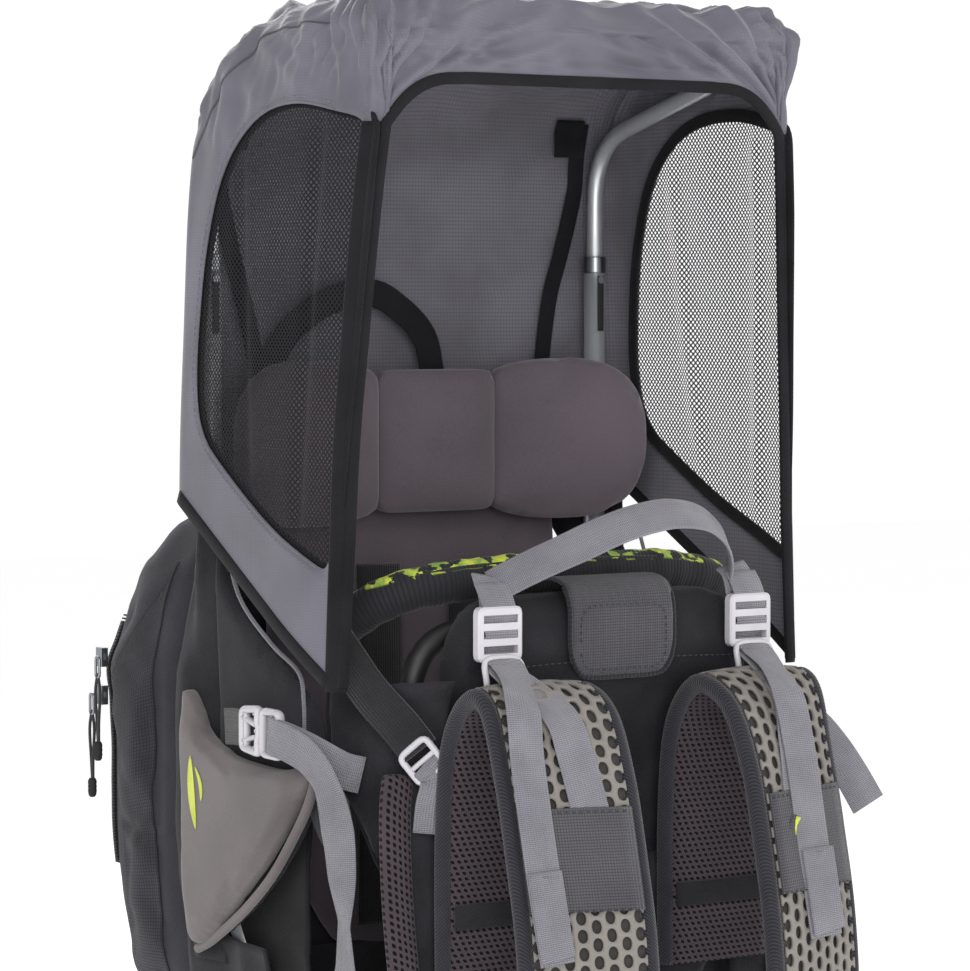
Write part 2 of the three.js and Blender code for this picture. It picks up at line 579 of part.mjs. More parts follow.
function addShoulderHarness() {
  const yoke = [[-70, 376], [70, 376], [128, 470], [122, 500], [-122, 500], [-128, 470]];
  addPart('yoke', plateY(roundedOutline(yoke, 20), -13, -7, 1.5), MATERIAL.blackCloth);
  Object.entries(SIDES).forEach(([label, side]) => {
    const near = side * STRAP.x - STRAP.width / 2;
    addPart(`shoulder_strap_${label}`, stripX(STRAP_LINE, STRAP.thick, near, near + STRAP.width, 20, 3),
      MATERIAL.foam);
    const inner = Math.min(side * STERNUM.near, side * STERNUM.far);
    const outer = Math.max(side * STERNUM.near, side * STERNUM.far);
    const band = roundedOutline(rectangle(inner, STERNUM.z - STERNUM.height / 2,
      outer, STERNUM.z + STERNUM.height / 2), 4);
    addPart(`sternum_strap_${label}`, plateY(band, STERNUM.y, STERNUM.y + 3), MATERIAL.webbing);
  });
  const { z, y, near } = STERNUM;
  const buckle = roundedOutline(rectangle(GAP - near, z - 14, near - GAP, z + 14), 6);
  addPart('sternum_buckle', plateY(buckle, y - 4, y + 6, 2), MATERIAL.blackPlastic);
}

// ---------------------------------------------------------------- hip belt
const HIP = { bottom: 152, top: 240 };
const HIP_PLAN = [[92, -42], [118, -44], [150, -66], [172, -110], [178, -170],
  [168, -172], [158, -118], [140, -80], [112, -60], [92, -58]];
const HIP_TAIL = [[169, -174], [175, -174], [160, -228], [120, -262], [116, -257], [154, -224]];

// A plan outline drawn for x > 0, turned over for the other side.
const onSide = (plan, side) => (side > 0 ? plan : plan.map(([x, y]) => [-x, y]).reverse());

function addHipWing(label, side) {
  const wing = roundedOutline(onSide(HIP_PLAN, side), 8);
  addPart(`hip_wing_${label}`, plateZ(wing, HIP.bottom, HIP.top, 1), MATERIAL.airMesh);
  const tail = roundedOutline(onSide(HIP_TAIL, side), 3);
  addPart(`hip_webbing_${label}`, plateZ(tail, 177, 215), MATERIAL.webbing);
}

// ---------------------------------------------------------------- haul handle
function addHaulHandle() {
  const lean = THREE.MathUtils.degToRad(-50);
  const arch = new THREE.Shape();
  const reach = 98;
  const rise = 64;
  const t = WEBBING.thick + 0.6;
  arch.moveTo(-reach, 0);
  arch.bezierCurveTo(-reach + 6, rise * 0.9, -reach * 0.5, rise, 0, rise);
  arch.bezierCurveTo(reach * 0.5, rise, reach - 6, rise * 0.9, reach, 0);
  arch.lineTo(reach - t, 0);
  arch.bezierCurveTo(reach - 6 - t, (rise - t) * 0.9, reach * 0.5, rise - t, 0, rise - t);
  arch.bezierCurveTo(-reach * 0.5, rise - t, -reach + 6 + t, (rise - t) * 0.9, -reach + t, 0);
  arch.closePath();
  const band = plateY(arch, -WEBBING.width / 2, WEBBING.width / 2, 0, 10);
  addPart('haul_handle', band.rotateX(lean).translate(0, -24, 692), MATERIAL.webbing);
}

addFrame();
addKickstand();
addBackPanel();
addBumper();
addBags();
addSeat();
addCanopy();
addShoulderHarness();
addHaulHandle();
Object.entries(SIDES).forEach(([label, side]) => {
  addHub(label, side);
  addPivotPin(label, side);
  addRearPost(label, side);
  addSidePanels(label, side);
  addSideBuckle(label, side);
  addLadderLock(label, side);
  addSnapButton(label, side);
  addHipWing(label, side);
});
Object.entries(ZIP.sliders).forEach(([label, z]) => addZip(label, z));

export default carrier;
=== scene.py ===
"""Baby carrier backpack: the visual model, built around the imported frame.

Lengths in this script are millimetres in the frame's axes: +Z up, -Y the side worn against the parent's back.
"""
import math

import bmesh
import bpy
import numpy as np
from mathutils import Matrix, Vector, noise
from mathutils.bvhtree import BVHTree


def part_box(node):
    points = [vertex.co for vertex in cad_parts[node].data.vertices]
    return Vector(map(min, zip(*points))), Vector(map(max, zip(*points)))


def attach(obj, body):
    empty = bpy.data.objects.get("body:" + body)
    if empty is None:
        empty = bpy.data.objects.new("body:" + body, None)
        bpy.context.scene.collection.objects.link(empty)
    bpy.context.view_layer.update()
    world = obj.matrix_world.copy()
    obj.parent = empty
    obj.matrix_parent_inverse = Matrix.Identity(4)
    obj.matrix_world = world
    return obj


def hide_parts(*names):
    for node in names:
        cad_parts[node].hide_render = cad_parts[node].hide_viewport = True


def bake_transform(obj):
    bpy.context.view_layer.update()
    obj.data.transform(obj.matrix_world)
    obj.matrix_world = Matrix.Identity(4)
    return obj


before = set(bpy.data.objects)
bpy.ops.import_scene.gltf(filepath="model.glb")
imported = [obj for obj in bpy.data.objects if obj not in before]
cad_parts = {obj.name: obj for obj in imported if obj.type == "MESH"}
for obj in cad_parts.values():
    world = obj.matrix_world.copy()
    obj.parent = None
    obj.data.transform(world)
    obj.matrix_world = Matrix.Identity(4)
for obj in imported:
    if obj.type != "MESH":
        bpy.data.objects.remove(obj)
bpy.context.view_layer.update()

MM = 0.001
SIDES = {"L": -1, "R": 1}
WORD = {"L": "left", "R": "right"}
SCENE = bpy.context.scene


def corners(node):
    """A CAD node's lowest and highest corner in millimetres."""
    low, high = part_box(node)
    return np.array(low) / MM, np.array(high) / MM


# ---------------------------------------------------------------- material nodes
def linear(code):
    """A #rrggbb colour as linear RGBA."""
    parts = [int(code[i : i + 2], 16) / 255 for i in (1, 3, 5)]
    return [c / 12.92 if c <= 0.04045 else ((c + 0.055) / 1.055) ** 2.4 for c in parts] + [1]


class Paint:
    """One material's node tree. u and v are surface millimetres; every value is a socket or a number."""

    def __init__(self, name):
        self.material = bpy.data.materials.new(name)
        self.material.use_nodes = True
        self.tree = self.material.node_tree
        self.bsdf = self.tree.nodes["Principled BSDF"]
        uv = self.tree.nodes.new("ShaderNodeUVMap")
        uv.uv_map = "mm"
        split = self.tree.nodes.new("ShaderNodeSeparateXYZ")
        self.tree.links.new(uv.outputs[0], split.inputs[0])
        self.u, self.v = split.outputs[0], split.outputs[1]
        self.place = self.tree.nodes.new("ShaderNodeTexCoord").outputs["Object"]

    def put(self, socket, value):
        if isinstance(value, bpy.types.NodeSocket):
            self.tree.links.new(value, socket)
        else:
            socket.default_value = value

    def math(self, operation, a, b=0.0, c=0.0):
        node = self.tree.nodes.new("ShaderNodeMath")
        node.operation = operation
        for socket, value in zip(node.inputs, (a, b, c)):
            self.put(socket, value)
        return node.outputs[0]

    def lines(self, coordinate, pitch, sharp=1.0):
        """Soft ridges every pitch, 0 to 1; a larger sharp makes them narrower."""
        wave = self.math("COSINE", self.math("MULTIPLY", coordinate, 2 * math.pi / pitch))
        return self.math("POWER", self.math("MULTIPLY_ADD", wave, 0.5, 0.5), sharp)

    def noise(self, scale, detail=3.0, stretch=(1, 1, 1)):
        node = self.tree.nodes.new("ShaderNodeTexNoise")
        mapping = self.tree.nodes.new("ShaderNodeMapping")
        mapping.inputs["Scale"].default_value = stretch
        self.tree.links.new(self.place, mapping.inputs[0])
        self.tree.links.new(mapping.outputs[0], node.inputs["Vector"])
        node.inputs["Scale"].default_value = scale
        node.inputs["Detail"].default_value = detail
        return node.outputs[0]

    def step(self, value, low, high):
        """A smooth step from 0 at low to 1 at high."""
        node = self.tree.nodes.new("ShaderNodeMapRange")
        node.interpolation_type = "SMOOTHSTEP"
        self.put(node.inputs[0], value)
        node.inputs[1].default_value = low
        node.inputs[2].default_value = high
        return node.outputs[0]

    def mix(self, share, a, b):
        node = self.tree.nodes.new("ShaderNodeMix")
        node.data_type = "RGBA"
        self.put(node.inputs[0], share)
        for socket, value in ((node.inputs[6], a), (node.inputs[7], b)):
            self.put(socket, linear(value) if isinstance(value, str) else value)
        return node.outputs[2]

    def finish(self, colour, rough, height=None, depth=0.3, metal=0.0, sheen=None):
        """Connects the surface; depth is the bump's height in millimetres. A sheen marks cloth."""
        self.put(self.bsdf.inputs["Base Color"], linear(colour) if isinstance(colour, str) else colour)
        self.put(self.bsdf.inputs["Roughness"], rough)
        self.bsdf.inputs["Metallic"].default_value = metal
        if sheen is not None:
            self.bsdf.inputs["Sheen Weight"].default_value = sheen
            self.bsdf.inputs["Sheen Roughness"].default_value = 0.45
            self.bsdf.inputs["Specular IOR Level"].default_value = 0.14
        if height is not None:
            bump = self.tree.nodes.new("ShaderNodeBump")
            bump.inputs["Distance"].default_value = depth * MM
            self.put(bump.inputs["Height"], height)
            self.tree.links.new(bump.outputs[0], self.bsdf.inputs["Normal"])
        return self.material


def plain_weave(name, dark, light, thread=0.9, sheen=0.25, rough=0.8, depth=0.18, patch=26.0):
    """Cordura, softshell and twill grounds: a fine weave with slow colour variation."""
    p = Paint(name)
    weave = p.math("MULTIPLY", p.lines(p.u, thread), p.lines(p.v, thread))
    slow = p.noise(patch, 4)
    fleck = p.noise(900, 1)
    share = p.math("ADD", p.math("MULTIPLY", slow, 0.7), p.math("MULTIPLY", fleck, 0.35))
    colour = p.mix(p.step(share, 0.3, 0.75), dark, light)
    height = p.math("ADD", weave, p.math("MULTIPLY", fleck, 0.8))
    return p.finish(colour, p.math("MULTIPLY_ADD", slow, 0.15, rough - 0.08), height, depth, sheen=sheen)


def ripstop(name, dark, light, line, pitch=4.6, sheen=0.2, rough=0.7, depth=0.25):
    """A light ground crossed by a square grid of thicker threads."""
    p = Paint(name)
    grid = p.math("MAXIMUM", p.lines(p.u, pitch, 5), p.lines(p.v, pitch, 5))
    weave = p.math("MULTIPLY", p.lines(p.u, 1.1), p.lines(p.v, 1.1))
    slow = p.noise(14, 4)
    ground = p.mix(p.step(slow, 0.3, 0.7), dark, light)
    colour = p.mix(p.math("MULTIPLY", grid, 0.6), ground, line)
    height = p.math("ADD", grid, p.math("MULTIPLY", weave, 0.4))
    return p.finish(colour, p.math("MULTIPLY_ADD", grid, 0.12, rough), height, depth, sheen=sheen)


def twill(name, dark, light, pitch=2.4):
    p = Paint(name)
    diagonal = p.lines(p.math("ADD", p.u, p.v), pitch, 1.4)
    share = p.math("ADD", p.math("MULTIPLY", diagonal, 0.7), p.math("MULTIPLY", p.noise(60), 0.4))
    return p.finish(p.mix(share, dark, light), 0.85, diagonal, 0.35, sheen=0.2)


def webbing(name, dark, light):
    """Ribbed webbing: u runs along it, v across it."""
    p = Paint(name)
    zigzag = p.math("PINGPONG", p.v, 1.2)
    ribs = p.lines(p.math("ADD", p.u, p.math("MULTIPLY", zigzag, 0.3)), 1.25, 1.2)
    warp = p.lines(p.v, 1.9, 1.6)
    slow = p.noise(40, 4)
    share = p.math("ADD", p.math("MULTIPLY", ribs, 0.45), p.math("MULTIPLY", slow, 0.6))
    share = p.math("SUBTRACT", share, p.math("MULTIPLY", warp, 0.14))
    colour = p.mix(p.step(share, 0.1, 0.85), dark, light)
    return p.finish(colour, 0.72, p.math("ADD", ribs, warp), 0.28, sheen=0.3)


def air_mesh(name, hole, strand, pitch=4.0):
    """Spacer mesh: oval holes between knitted strands, the holes coloured near black as painted shade."""
    p = Paint(name)
    skew = p.math("ADD", p.u, p.math("MULTIPLY", p.v, 0.5))
    lattice = p.math("MULTIPLY", p.lines(skew, pitch, 0.8), p.lines(p.v, pitch * 0.8, 0.8))
    shaded_hole_mask = p.step(lattice, 0.28, 0.55)
    tint = p.mix(p.noise(30, 2), strand, hole)
    # The openings get the hole colour: painted shade inside them.
    colour = p.mix(shaded_hole_mask, p.mix(0.35, strand, tint), hole)
    return p.finish(colour, 0.9, p.math("SUBTRACT", 1.0, shaded_hole_mask), 1.1, sheen=0.15)


def foam(name, dark, light):
    p = Paint(name)
    pores = p.noise(1600, 2)
    return p.finish(p.mix(p.noise(25), dark, light), 0.75, pores, 0.15, sheen=0.1)


def moulded(name, dark, light, rough=0.45, sheen=None):
    """Moulded plastic or rubber: fine texture, slightly uneven gloss."""
    p = Paint(name)
    grain = p.noise(2400, 2)
    slow = p.noise(35, 3)
    rough_value = p.math("MULTIPLY_ADD", slow, 0.2, rough - 0.1)
    return p.finish(p.mix(slow, dark, light), rough_value, grain, 0.06, sheen=sheen)


def drawn_metal(name, dark, light, rough=0.28, metal=1.0):
    """Drawn aluminium or steel: fine lines along the tube and faint smudges."""
    p = Paint(name)
    streaks = p.noise(500, 3, (1, 1, 0.02))
    smudge = p.noise(18, 3)
    rough_value = p.math("MULTIPLY_ADD", smudge, 0.25, rough - 0.1)
    return p.finish(p.mix(streaks, dark, light), rough_value, streaks, 0.03, metal=metal)


def printed(name, ground, line, ink, shade):
    """Ripstop with irregular blots printed where the cloth faces up."""
    p = Paint(name)
    grid = p.lines(p.v, 3.0, 3)
    base = p.mix(p.math("MULTIPLY", grid, 0.6), ground, line)
    normal = p.tree.nodes.new("ShaderNodeNewGeometry").outputs["Normal"]
    split = p.tree.nodes.new("ShaderNodeSeparateXYZ")
    p.tree.links.new(normal, split.inputs[0])
    upward = p.step(split.outputs[2], 0.45, 0.6)
    blots = p.step(p.noise(80, 8), 0.5, 0.52)
    ink_colour = p.mix(p.step(p.noise(120, 3), 0.35, 0.7), ink, shade)
    colour = p.mix(p.math("MULTIPLY", upward, blots), base, ink_colour)
    return p.finish(colour, 0.72, grid, 0.3, sheen=0.15)


CANOPY_OUT = ripstop("canopy_cloth_outside", "#5a5962", "#6b6a75", "#5f5e67", 1.9, 0.25, 0.42, 0.06)
CANOPY_IN = ripstop("canopy_cloth_inside", "#66646b", "#797780", "#504e54", 2.8, 0.25, 0.68, 0.25)
BLACK = plain_weave("black_cordura", "#1b1b1e", "#2d2d31", 1.3, 0.1)
BINDING = plain_weave("black_binding", "#131315", "#1f1f22", 1.6, 0.06)
TWILL = twill("charcoal_twill", "#1f1f23", "#3a3a40")
GRID = ripstop("grey_grid_ripstop", "#4b494e", "#5a585d", "#19191c", 1.9, 0.25, 0.7, 0.35)
BLACK_GRID = ripstop("black_grid_ripstop", "#29292d", "#333337", "#18181b", 3.1, 0.2, 0.72, 0.4)
SOFTSHELL = plain_weave("charcoal_softshell", "#524b51", "#635a61", 0.8, 0.3, 0.82, 0.1, 9.0)
BAG_CLOTH = plain_weave("dark_charcoal_cordura", "#27262b", "#36353b", 1.4, 0.12)
BAG_GRID = ripstop("charcoal_grid_ripstop", "#2b2a2f", "#3a393f", "#1b1b1e", 2.4, 0.12, 0.72, 0.35)
TAUPE = plain_weave("taupe_stretch", "#5d5657", "#716a6a", 0.9, 0.3, 0.8, 0.12, 8.0)
WEB_GREY = webbing("grey_webbing", "#64636a", "#8f8d94")
WEB_BLACK = webbing("black_webbing", "#1b1b1d", "#303033")
# The first colour of each spacer mesh is painted shade in its holes.
MESH_LINING = air_mesh("spacer_mesh", "#0a0809", "#4a4046", 4.8)
MESH_BROWN = air_mesh("spacer_mesh_warm", "#0d0a0a", "#463e3b", 4.4)
EVA = foam("perforated_foam", "#716d69", "#8c8781")
FOAM_DARK = foam("foam_core", "#3c3a38", "#4a4745")
NET = moulded("window_net", "#17171a", "#252528", 0.9, 0.05)
PLASTIC_GREY = moulded("light_grey_plastic", "#b2afb5", "#cbc8ce", 0.36)
PLASTIC_BLACK = moulded("black_plastic", "#141416", "#232326", 0.45)
RUBBER = moulded("rubber", "#131314", "#1f1f20", 0.8)
ALUMINIUM = drawn_metal("aluminium_tube", "#c4c6c9", "#e0e2e5", 0.34, 0.7)
STEEL = drawn_metal("steel", "#7d8084", "#a2a5a9", 0.32)
BLACK_PAINT = moulded("black_powder_paint", "#161618", "#202022", 0.5)
PRINT = printed("printed_ripstop", "#29292d", "#17171a", "#c9d24a", "#7d9c48")
LIME = plain_weave("lime_thread", "#b9c53e", "#d8df66", 1.0, 0.2, 0.6)
THREAD = plain_weave("grey_thread", "#6f6d73", "#88868c", 0.7, 0.2)
THREAD_DARK = plain_weave("dark_thread", "#2a2a2d", "#3a3a3e", 0.7, 0.3)


# ---------------------------------------------------------------- mesh helpers
def box_uv(mesh):
    """Surface millimetres from the face's main direction, for pieces without a grid of their own."""
    layer = mesh.uv_layers.get("mm") or mesh.uv_layers.new(name="mm")
    points = coordinates(mesh) / MM
    face_normals = np.empty(len(mesh.polygons) * 3)
    mesh.polygons.foreach_get("normal", face_normals)
    sizes = np.empty(len(mesh.polygons), int)
    mesh.polygons.foreach_get("loop_total", sizes)
    vertices = np.empty(len(mesh.loops), int)
    mesh.loops.foreach_get("vertex_index", vertices)
    main = np.repeat(np.argmax(np.abs(face_normals.reshape(-1, 3)) + [0.001, 0.0005, 0], axis=1), sizes)
    keep = np.array([[1, 2], [0, 2], [0, 1]])[main]
    layer.data.foreach_set("uv", np.take_along_axis(points[vertices], keep, axis=1).ravel())


def settle(obj, body, material, stands_for=()):
    """Gives a finished piece its material, body and the CAD nodes it stands for."""
    if "mm" not in obj.data.uv_layers:
        box_uv(obj.data)
    obj.data.materials.clear()
    for one in material if isinstance(material, (list, tuple)) else [material]:
        obj.data.materials.append(one)
    obj.data.polygons.foreach_set("use_smooth", np.ones(len(obj.data.polygons), bool))
    if isinstance(body, str):
        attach(obj, body)
    if stands_for:
        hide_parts(*stands_for)
    return obj


def raw_object(name, verts, faces, uvs=None):
    mesh = bpy.data.meshes.new(name)
    mesh.from_pydata(np.asarray(verts, float).reshape(-1, 3) * MM, [], faces)
    mesh.update()
    if uvs is not None:
        vertices = np.empty(len(mesh.loops), int)
        mesh.loops.foreach_get("vertex_index", vertices)
        mesh.uv_layers.new(name="mm").data.foreach_set("uv", np.asarray(uvs, float)[vertices].ravel())
    obj = bpy.data.objects.new(name, mesh)
    SCENE.collection.objects.link(obj)
    return obj


def apply_modifiers(obj):
    graph = bpy.context.evaluated_depsgraph_get()
    mesh = bpy.data.meshes.new_from_object(obj.evaluated_get(graph))
    obj.modifiers.clear()
    old = obj.data
    obj.data = mesh
    bpy.data.meshes.remove(old)
    return obj


def faces_outward(obj):
    bm = bmesh.new()
    bm.from_mesh(obj.data)
    bmesh.ops.recalc_face_normals(bm, faces=bm.faces)
    bm.to_mesh(obj.data)
    bm.free()


def thicken(obj, thickness, offset=0.0):
    solid = obj.modifiers.new("thickness", "SOLIDIFY")
    solid.thickness = thickness * MM
    solid.offset = offset
    return apply_modifiers(obj)


def subdivide(obj, levels=1):
    smooth = obj.modifiers.new("smooth", "SUBSURF")
    smooth.levels = smooth.render_levels = levels
    return apply_modifiers(obj)


def grid_faces(rows, cols, wrap=False):
    faces = []
    for r in range(rows - 1):
        for c in range(cols if wrap else cols - 1):
            d = (c + 1) % cols
            faces.append((r * cols + c, r * cols + d, (r + 1) * cols + d, (r + 1) * cols + c))
    return faces


def capped_faces(rows, cols):
    """Faces of a closed solid made of rings, with a flat cap at each end."""
    first, last = tuple(range(cols)), tuple((rows - 1) * cols + c for c in range(cols))
    return grid_faces(rows, cols, True) + [first[::-1], last]


def travelled(path):
    """Distance along a path at each of its points."""
    return np.concatenate([[0], np.cumsum(np.linalg.norm(np.diff(path, axis=0), axis=1))])


def grid_uv(grid):
    """Surface millimetres of a rows x cols x 3 grid, measured along its middle row and column."""
    rows, cols = grid.shape[:2]
    u, v = travelled(grid[rows // 2]), travelled(grid[:, cols // 2])
    return [(u[c], v[r]) for r in range(rows) for c in range(cols)]


def sheet(name, grid, body, material, thickness=1.0, stands_for=()):
    """Cloth of a given thickness over a rows x columns grid of points."""
    grid = np.asarray(grid, float)
    obj = raw_object(name, grid.reshape(-1, 3), grid_faces(*grid.shape[:2]), grid_uv(grid))
    thicken(obj, thickness)
    return settle(obj, body, material, stands_for)


def spline(points, step=4.0):
    """Catmull-Rom samples through the points, about one every step."""
    p = np.asarray(points, float)
    p = np.vstack([2 * p[0] - p[1], p, 2 * p[-1] - p[-2]])
    out = []
    for a, b, c, d in zip(p, p[1:], p[2:], p[3:]):
        count = max(2, int(np.linalg.norm(c - b) / step))
        for t in np.arange(count) / count:
            out.append(0.5 * (2 * b + (c - a) * t + (2 * a - 5 * b + 4 * c - d) * t**2
                              + (3 * b - a - 3 * c + d) * t**3))
    out.append(p[-2])
    return np.array(out)


def bent(points, radius, steps=8):
    """Straight runs joined by curved bends, as the CAD tubes are drawn."""
    p = np.asarray(points, float)
    out = [p[0]]
    for before, corner, after in zip(p, p[1:], p[2:]):
        run_in, run_out = before - corner, after - corner
        entry = corner + run_in / np.linalg.norm(run_in) * min(radius, np.linalg.norm(run_in) * 0.49)
        leave = corner + run_out / np.linalg.norm(run_out) * min(radius, np.linalg.norm(run_out) * 0.49)
        for t in np.arange(steps + 1) / steps:
            out.append((1 - t) ** 2 * entry + 2 * t * (1 - t) * corner + t**2 * leave)
    out.append(p[-1])
    return np.array(out)


def unit(v):
    v = np.asarray(v, float)
    return v / np.maximum(np.linalg.norm(v, axis=-1, keepdims=True), 1e-9)


def tangents(path, closed=False):
    if closed:
        return unit(np.roll(path, -1, 0) - np.roll(path, 1, 0))
    return unit(np.gradient(path, axis=0))


def sweep_rings(path, ups, section, closed=False):
    """Rings of a section (across, up) carried along a path; ups is one up direction, or one per sample."""
    along = tangents(path, closed)
    across = unit(np.cross(along, ups))
    up = np.cross(across, along)
    return np.array([[p + a * s[0] + b * s[1] for s in section] for p, a, b in zip(path, across, up)])


def swept_shape(name, path, ups, section, closed=False):
    """A closed solid: a section swept along a path, with flat ends unless it closes on itself."""
    rings = sweep_rings(path, ups, section, closed)
    rows, cols = rings.shape[:2]
    if closed:
        last = (rows - 1) * cols
        faces = grid_faces(rows, cols, True)
        faces += [(last + c, last + (c + 1) % cols, (c + 1) % cols, c) for c in range(cols)]
    else:
        faces = capped_faces(rows, cols)
    length = travelled(path)
    uvs = [(length[r], section[c][0] + section[c][1] * 0.5) for r in range(rows) for c in range(cols)]
    return raw_object(name, rings.reshape(-1, 3), faces, uvs)


def swept(name, path, ups, section, body, material, slot, stands_for=(), closed=False, levels=0):
    obj = swept_shape(name, path, ups, section, closed)
    if levels:
        subdivide(obj, levels)
    return settle(obj, body, material, stands_for)


WEB_WIDTH = 25


def ribbon(name, points, up, width, body, material=None, slot="grey_webbing", thick=1.8, step=3.5, **more):
    """Webbing along control points. up is the face's outward direction, one for all or one per point."""
    path = spline(points, step)
    ups = np.asarray(up, float)
    if ups.ndim == 2:
        knots = np.linspace(0, 1, len(ups))
        ups = np.stack([np.interp(np.linspace(0, 1, len(path)), knots, ups[:, i]) for i in range(3)], 1)
    h, q = width / 2, thick / 2
    section = [(-h, -q * 0.4), (-h + q, -q), (0, -q), (h - q, -q), (h, -q * 0.4),
               (h, q * 0.4), (h - q, q), (0, q), (-h + q, q), (-h, q * 0.4)]
    return swept(name, path, ups, section, body, material or WEB_GREY, slot, **more)


def oval(wide, high, sides):
    """An oval section's points; wide and high are its half sizes."""
    angles = [2 * math.pi * i / sides for i in range(sides)]
    return [(wide * math.cos(t), high * math.sin(t)) for t in angles]


def band(edge, edge_high, face, face_high):
    """A flat band's section with bevelled edges: half width and half height at its edges and on its faces."""
    return [(-edge, -edge_high), (-face, -face_high), (face, -face_high), (edge, -edge_high),
            (edge, edge_high), (face, face_high), (-face, face_high), (-edge, edge_high)]


HEM_BAND = band(5, 0.6, 4.2, 1.5)


def transported(path, start=(0, 0, 1)):
    """Up directions that turn as little as possible along a path."""
    along = tangents(path)
    up = np.asarray(start, float)
    if abs(np.dot(up, along[0])) > 0.9:
        up = np.array([1.0, 0, 0])
    ups = []
    for t in along:
        up = unit(up - t * np.dot(up, t))
        ups.append(up)
    return np.array(ups)


def tube(name, path, radius, body, material, slot, stands_for=(), sides=20):
    path = np.asarray(path, float)
    return swept(name, path, transported(path), oval(radius, radius, sides), body, material, slot, stands_for)


def merged(name, parts):
    """One object from several, which then exist no more."""
    bm = bmesh.new()
    for part in parts:
        bm.from_mesh(part.data)
    mesh = bpy.data.meshes.new(name)
    bm.to_mesh(mesh)
    bm.free()
    materials = list(parts[0].data.materials)
    for part in parts:
        bpy.data.objects.remove(part)
    obj = bpy.data.objects.new(name, mesh)
    SCENE.collection.objects.link(obj)
    for one in materials:
        mesh.materials.append(one)
    return obj


def stitches(name, path, ups, body, material=None, stitch=3.2, gap=1.6, radius=0.42):
    """A row of thread stitches: short beads that lie along a path."""
    path = np.asarray(path, float)
    ups = np.broadcast_to(np.asarray(ups, float), path.shape)
    length = travelled(path)
    verts, faces = [], []
    at = gap / 2
    while at + stitch < length[-1]:
        ends = [np.array([np.interp(at + d, length, path[:, i]) for i in range(3)]) for d in (0, stitch)]
        up = unit([np.interp(at, length, ups[:, i]) for i in range(3)])
        along = unit(ends[1] - ends[0])
        across = unit(np.cross(along, up))
        base = len(verts)
        for share, size, lift in ((0, 0.35, -0.1), (0.2, 1, 0.2), (0.8, 1, 0.2), (1, 0.35, -0.1)):
            centre = ends[0] + (ends[1] - ends[0]) * share + up * lift
            for k in range(5):
                angle = 2 * math.pi * k / 5
                verts.append(centre + radius * size * (math.cos(angle) * across + math.sin(angle) * up))
        for ring in range(3):
            for k in range(5):
                a, b = base + ring * 5 + k, base + ring * 5 + (k + 1) % 5
                faces.append((a, b, b + 5, a + 5))
        faces += [tuple(base + k for k in range(5))[::-1], tuple(base + 15 + k for k in range(5))]
        at += stitch + gap
    return settle(raw_object(name, verts, faces), body, material or THREAD_DARK)


# ---------------------------------------------------------------- soft pads
def cad_copy(node):
    """A copy of one CAD node's mesh, to be reshaped."""
    name = f"{node}_copy"
    bm = bmesh.new()
    bm.from_mesh(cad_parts[node].data)
    mesh = bpy.data.meshes.new(name)
    bm.to_mesh(mesh)
    bm.free()
    obj = bpy.data.objects.new(name, mesh)
    SCENE.collection.objects.link(obj)
    return obj


def coordinates(mesh):
    values = np.empty(len(mesh.vertices) * 3)
    mesh.vertices.foreach_get("co", values)
    return values.reshape(-1, 3)


def set_coordinates(mesh, values):
    mesh.vertices.foreach_set("co", np.asarray(values, float).ravel())
    mesh.update()


def normals(mesh):
    values = np.empty(len(mesh.vertices) * 3)
    mesh.vertex_normals.foreach_get("vector", values)
    return values.reshape(-1, 3)


def swell(obj, cap):
    """Cloth simulation with inner pressure; no point moves further than cap."""
    stiff, frames = 15.0, 20
    start = coordinates(obj.data)
    cloth = obj.modifiers.new("Cloth", "CLOTH")
    cloth.settings.quality = 4
    cloth.settings.mass = 0.3
    cloth.settings.tension_stiffness = stiff
    cloth.settings.compression_stiffness = stiff
    cloth.settings.shear_stiffness = stiff / 3
    cloth.settings.bending_stiffness = 0.5
    cloth.settings.use_pressure = True
    cloth.settings.uniform_pressure_force = 4.0
    cloth.settings.effector_weights.gravity = 0
    cloth.point_cache.frame_start, cloth.point_cache.frame_end = 1, frames
    for number in range(1, frames + 1):
        SCENE.frame_set(number)
    graph = bpy.context.evaluated_depsgraph_get()
    end = coordinates(obj.evaluated_get(graph).data)
    obj.modifiers.clear()
    SCENE.frame_set(1)
    move = end - start
    length = np.linalg.norm(move, axis=1, keepdims=True)
    set_coordinates(obj.data, start + move * np.minimum(1, cap * MM / np.maximum(length, 1e-9)))


def pad(name, source, body, material, stands_for, voxel, shrink, cap, shape=None):
    """A padded piece: remeshed, shrunk, swollen by cloth simulation, given its shape, then smoothed."""
    remesh = source.modifiers.new("remesh", "REMESH")
    remesh.mode = "VOXEL"
    remesh.voxel_size = voxel * MM
    obj = apply_modifiers(source)
    obj.name = name
    set_coordinates(obj.data, coordinates(obj.data) - normals(obj.data) * shrink * MM)
    swell(obj, cap)
    if shape:
        shape(obj.data)
    subdivide(obj)
    box_uv(obj.data)
    return settle(obj, body, material, stands_for)


def cad_pad(name, node, body, material, voxel, shrink, cap, shape=None):
    """A padded piece made from the CAD node it stands for."""
    return pad(name, cad_copy(node), body, material, [node], voxel, shrink, cap, shape)


def distance_to(points, path):
    """Each point's distance to a polyline, in the points' units."""
    best = np.full(len(points), 1e9)
    for a, b in zip(path[:-1], path[1:]):
        d = b - a
        t = np.clip(((points - a) @ d) / max(d @ d, 1e-12), 0, 1)
        best = np.minimum(best, np.linalg.norm(points - (a + t[:, None] * d), axis=1))
    return best


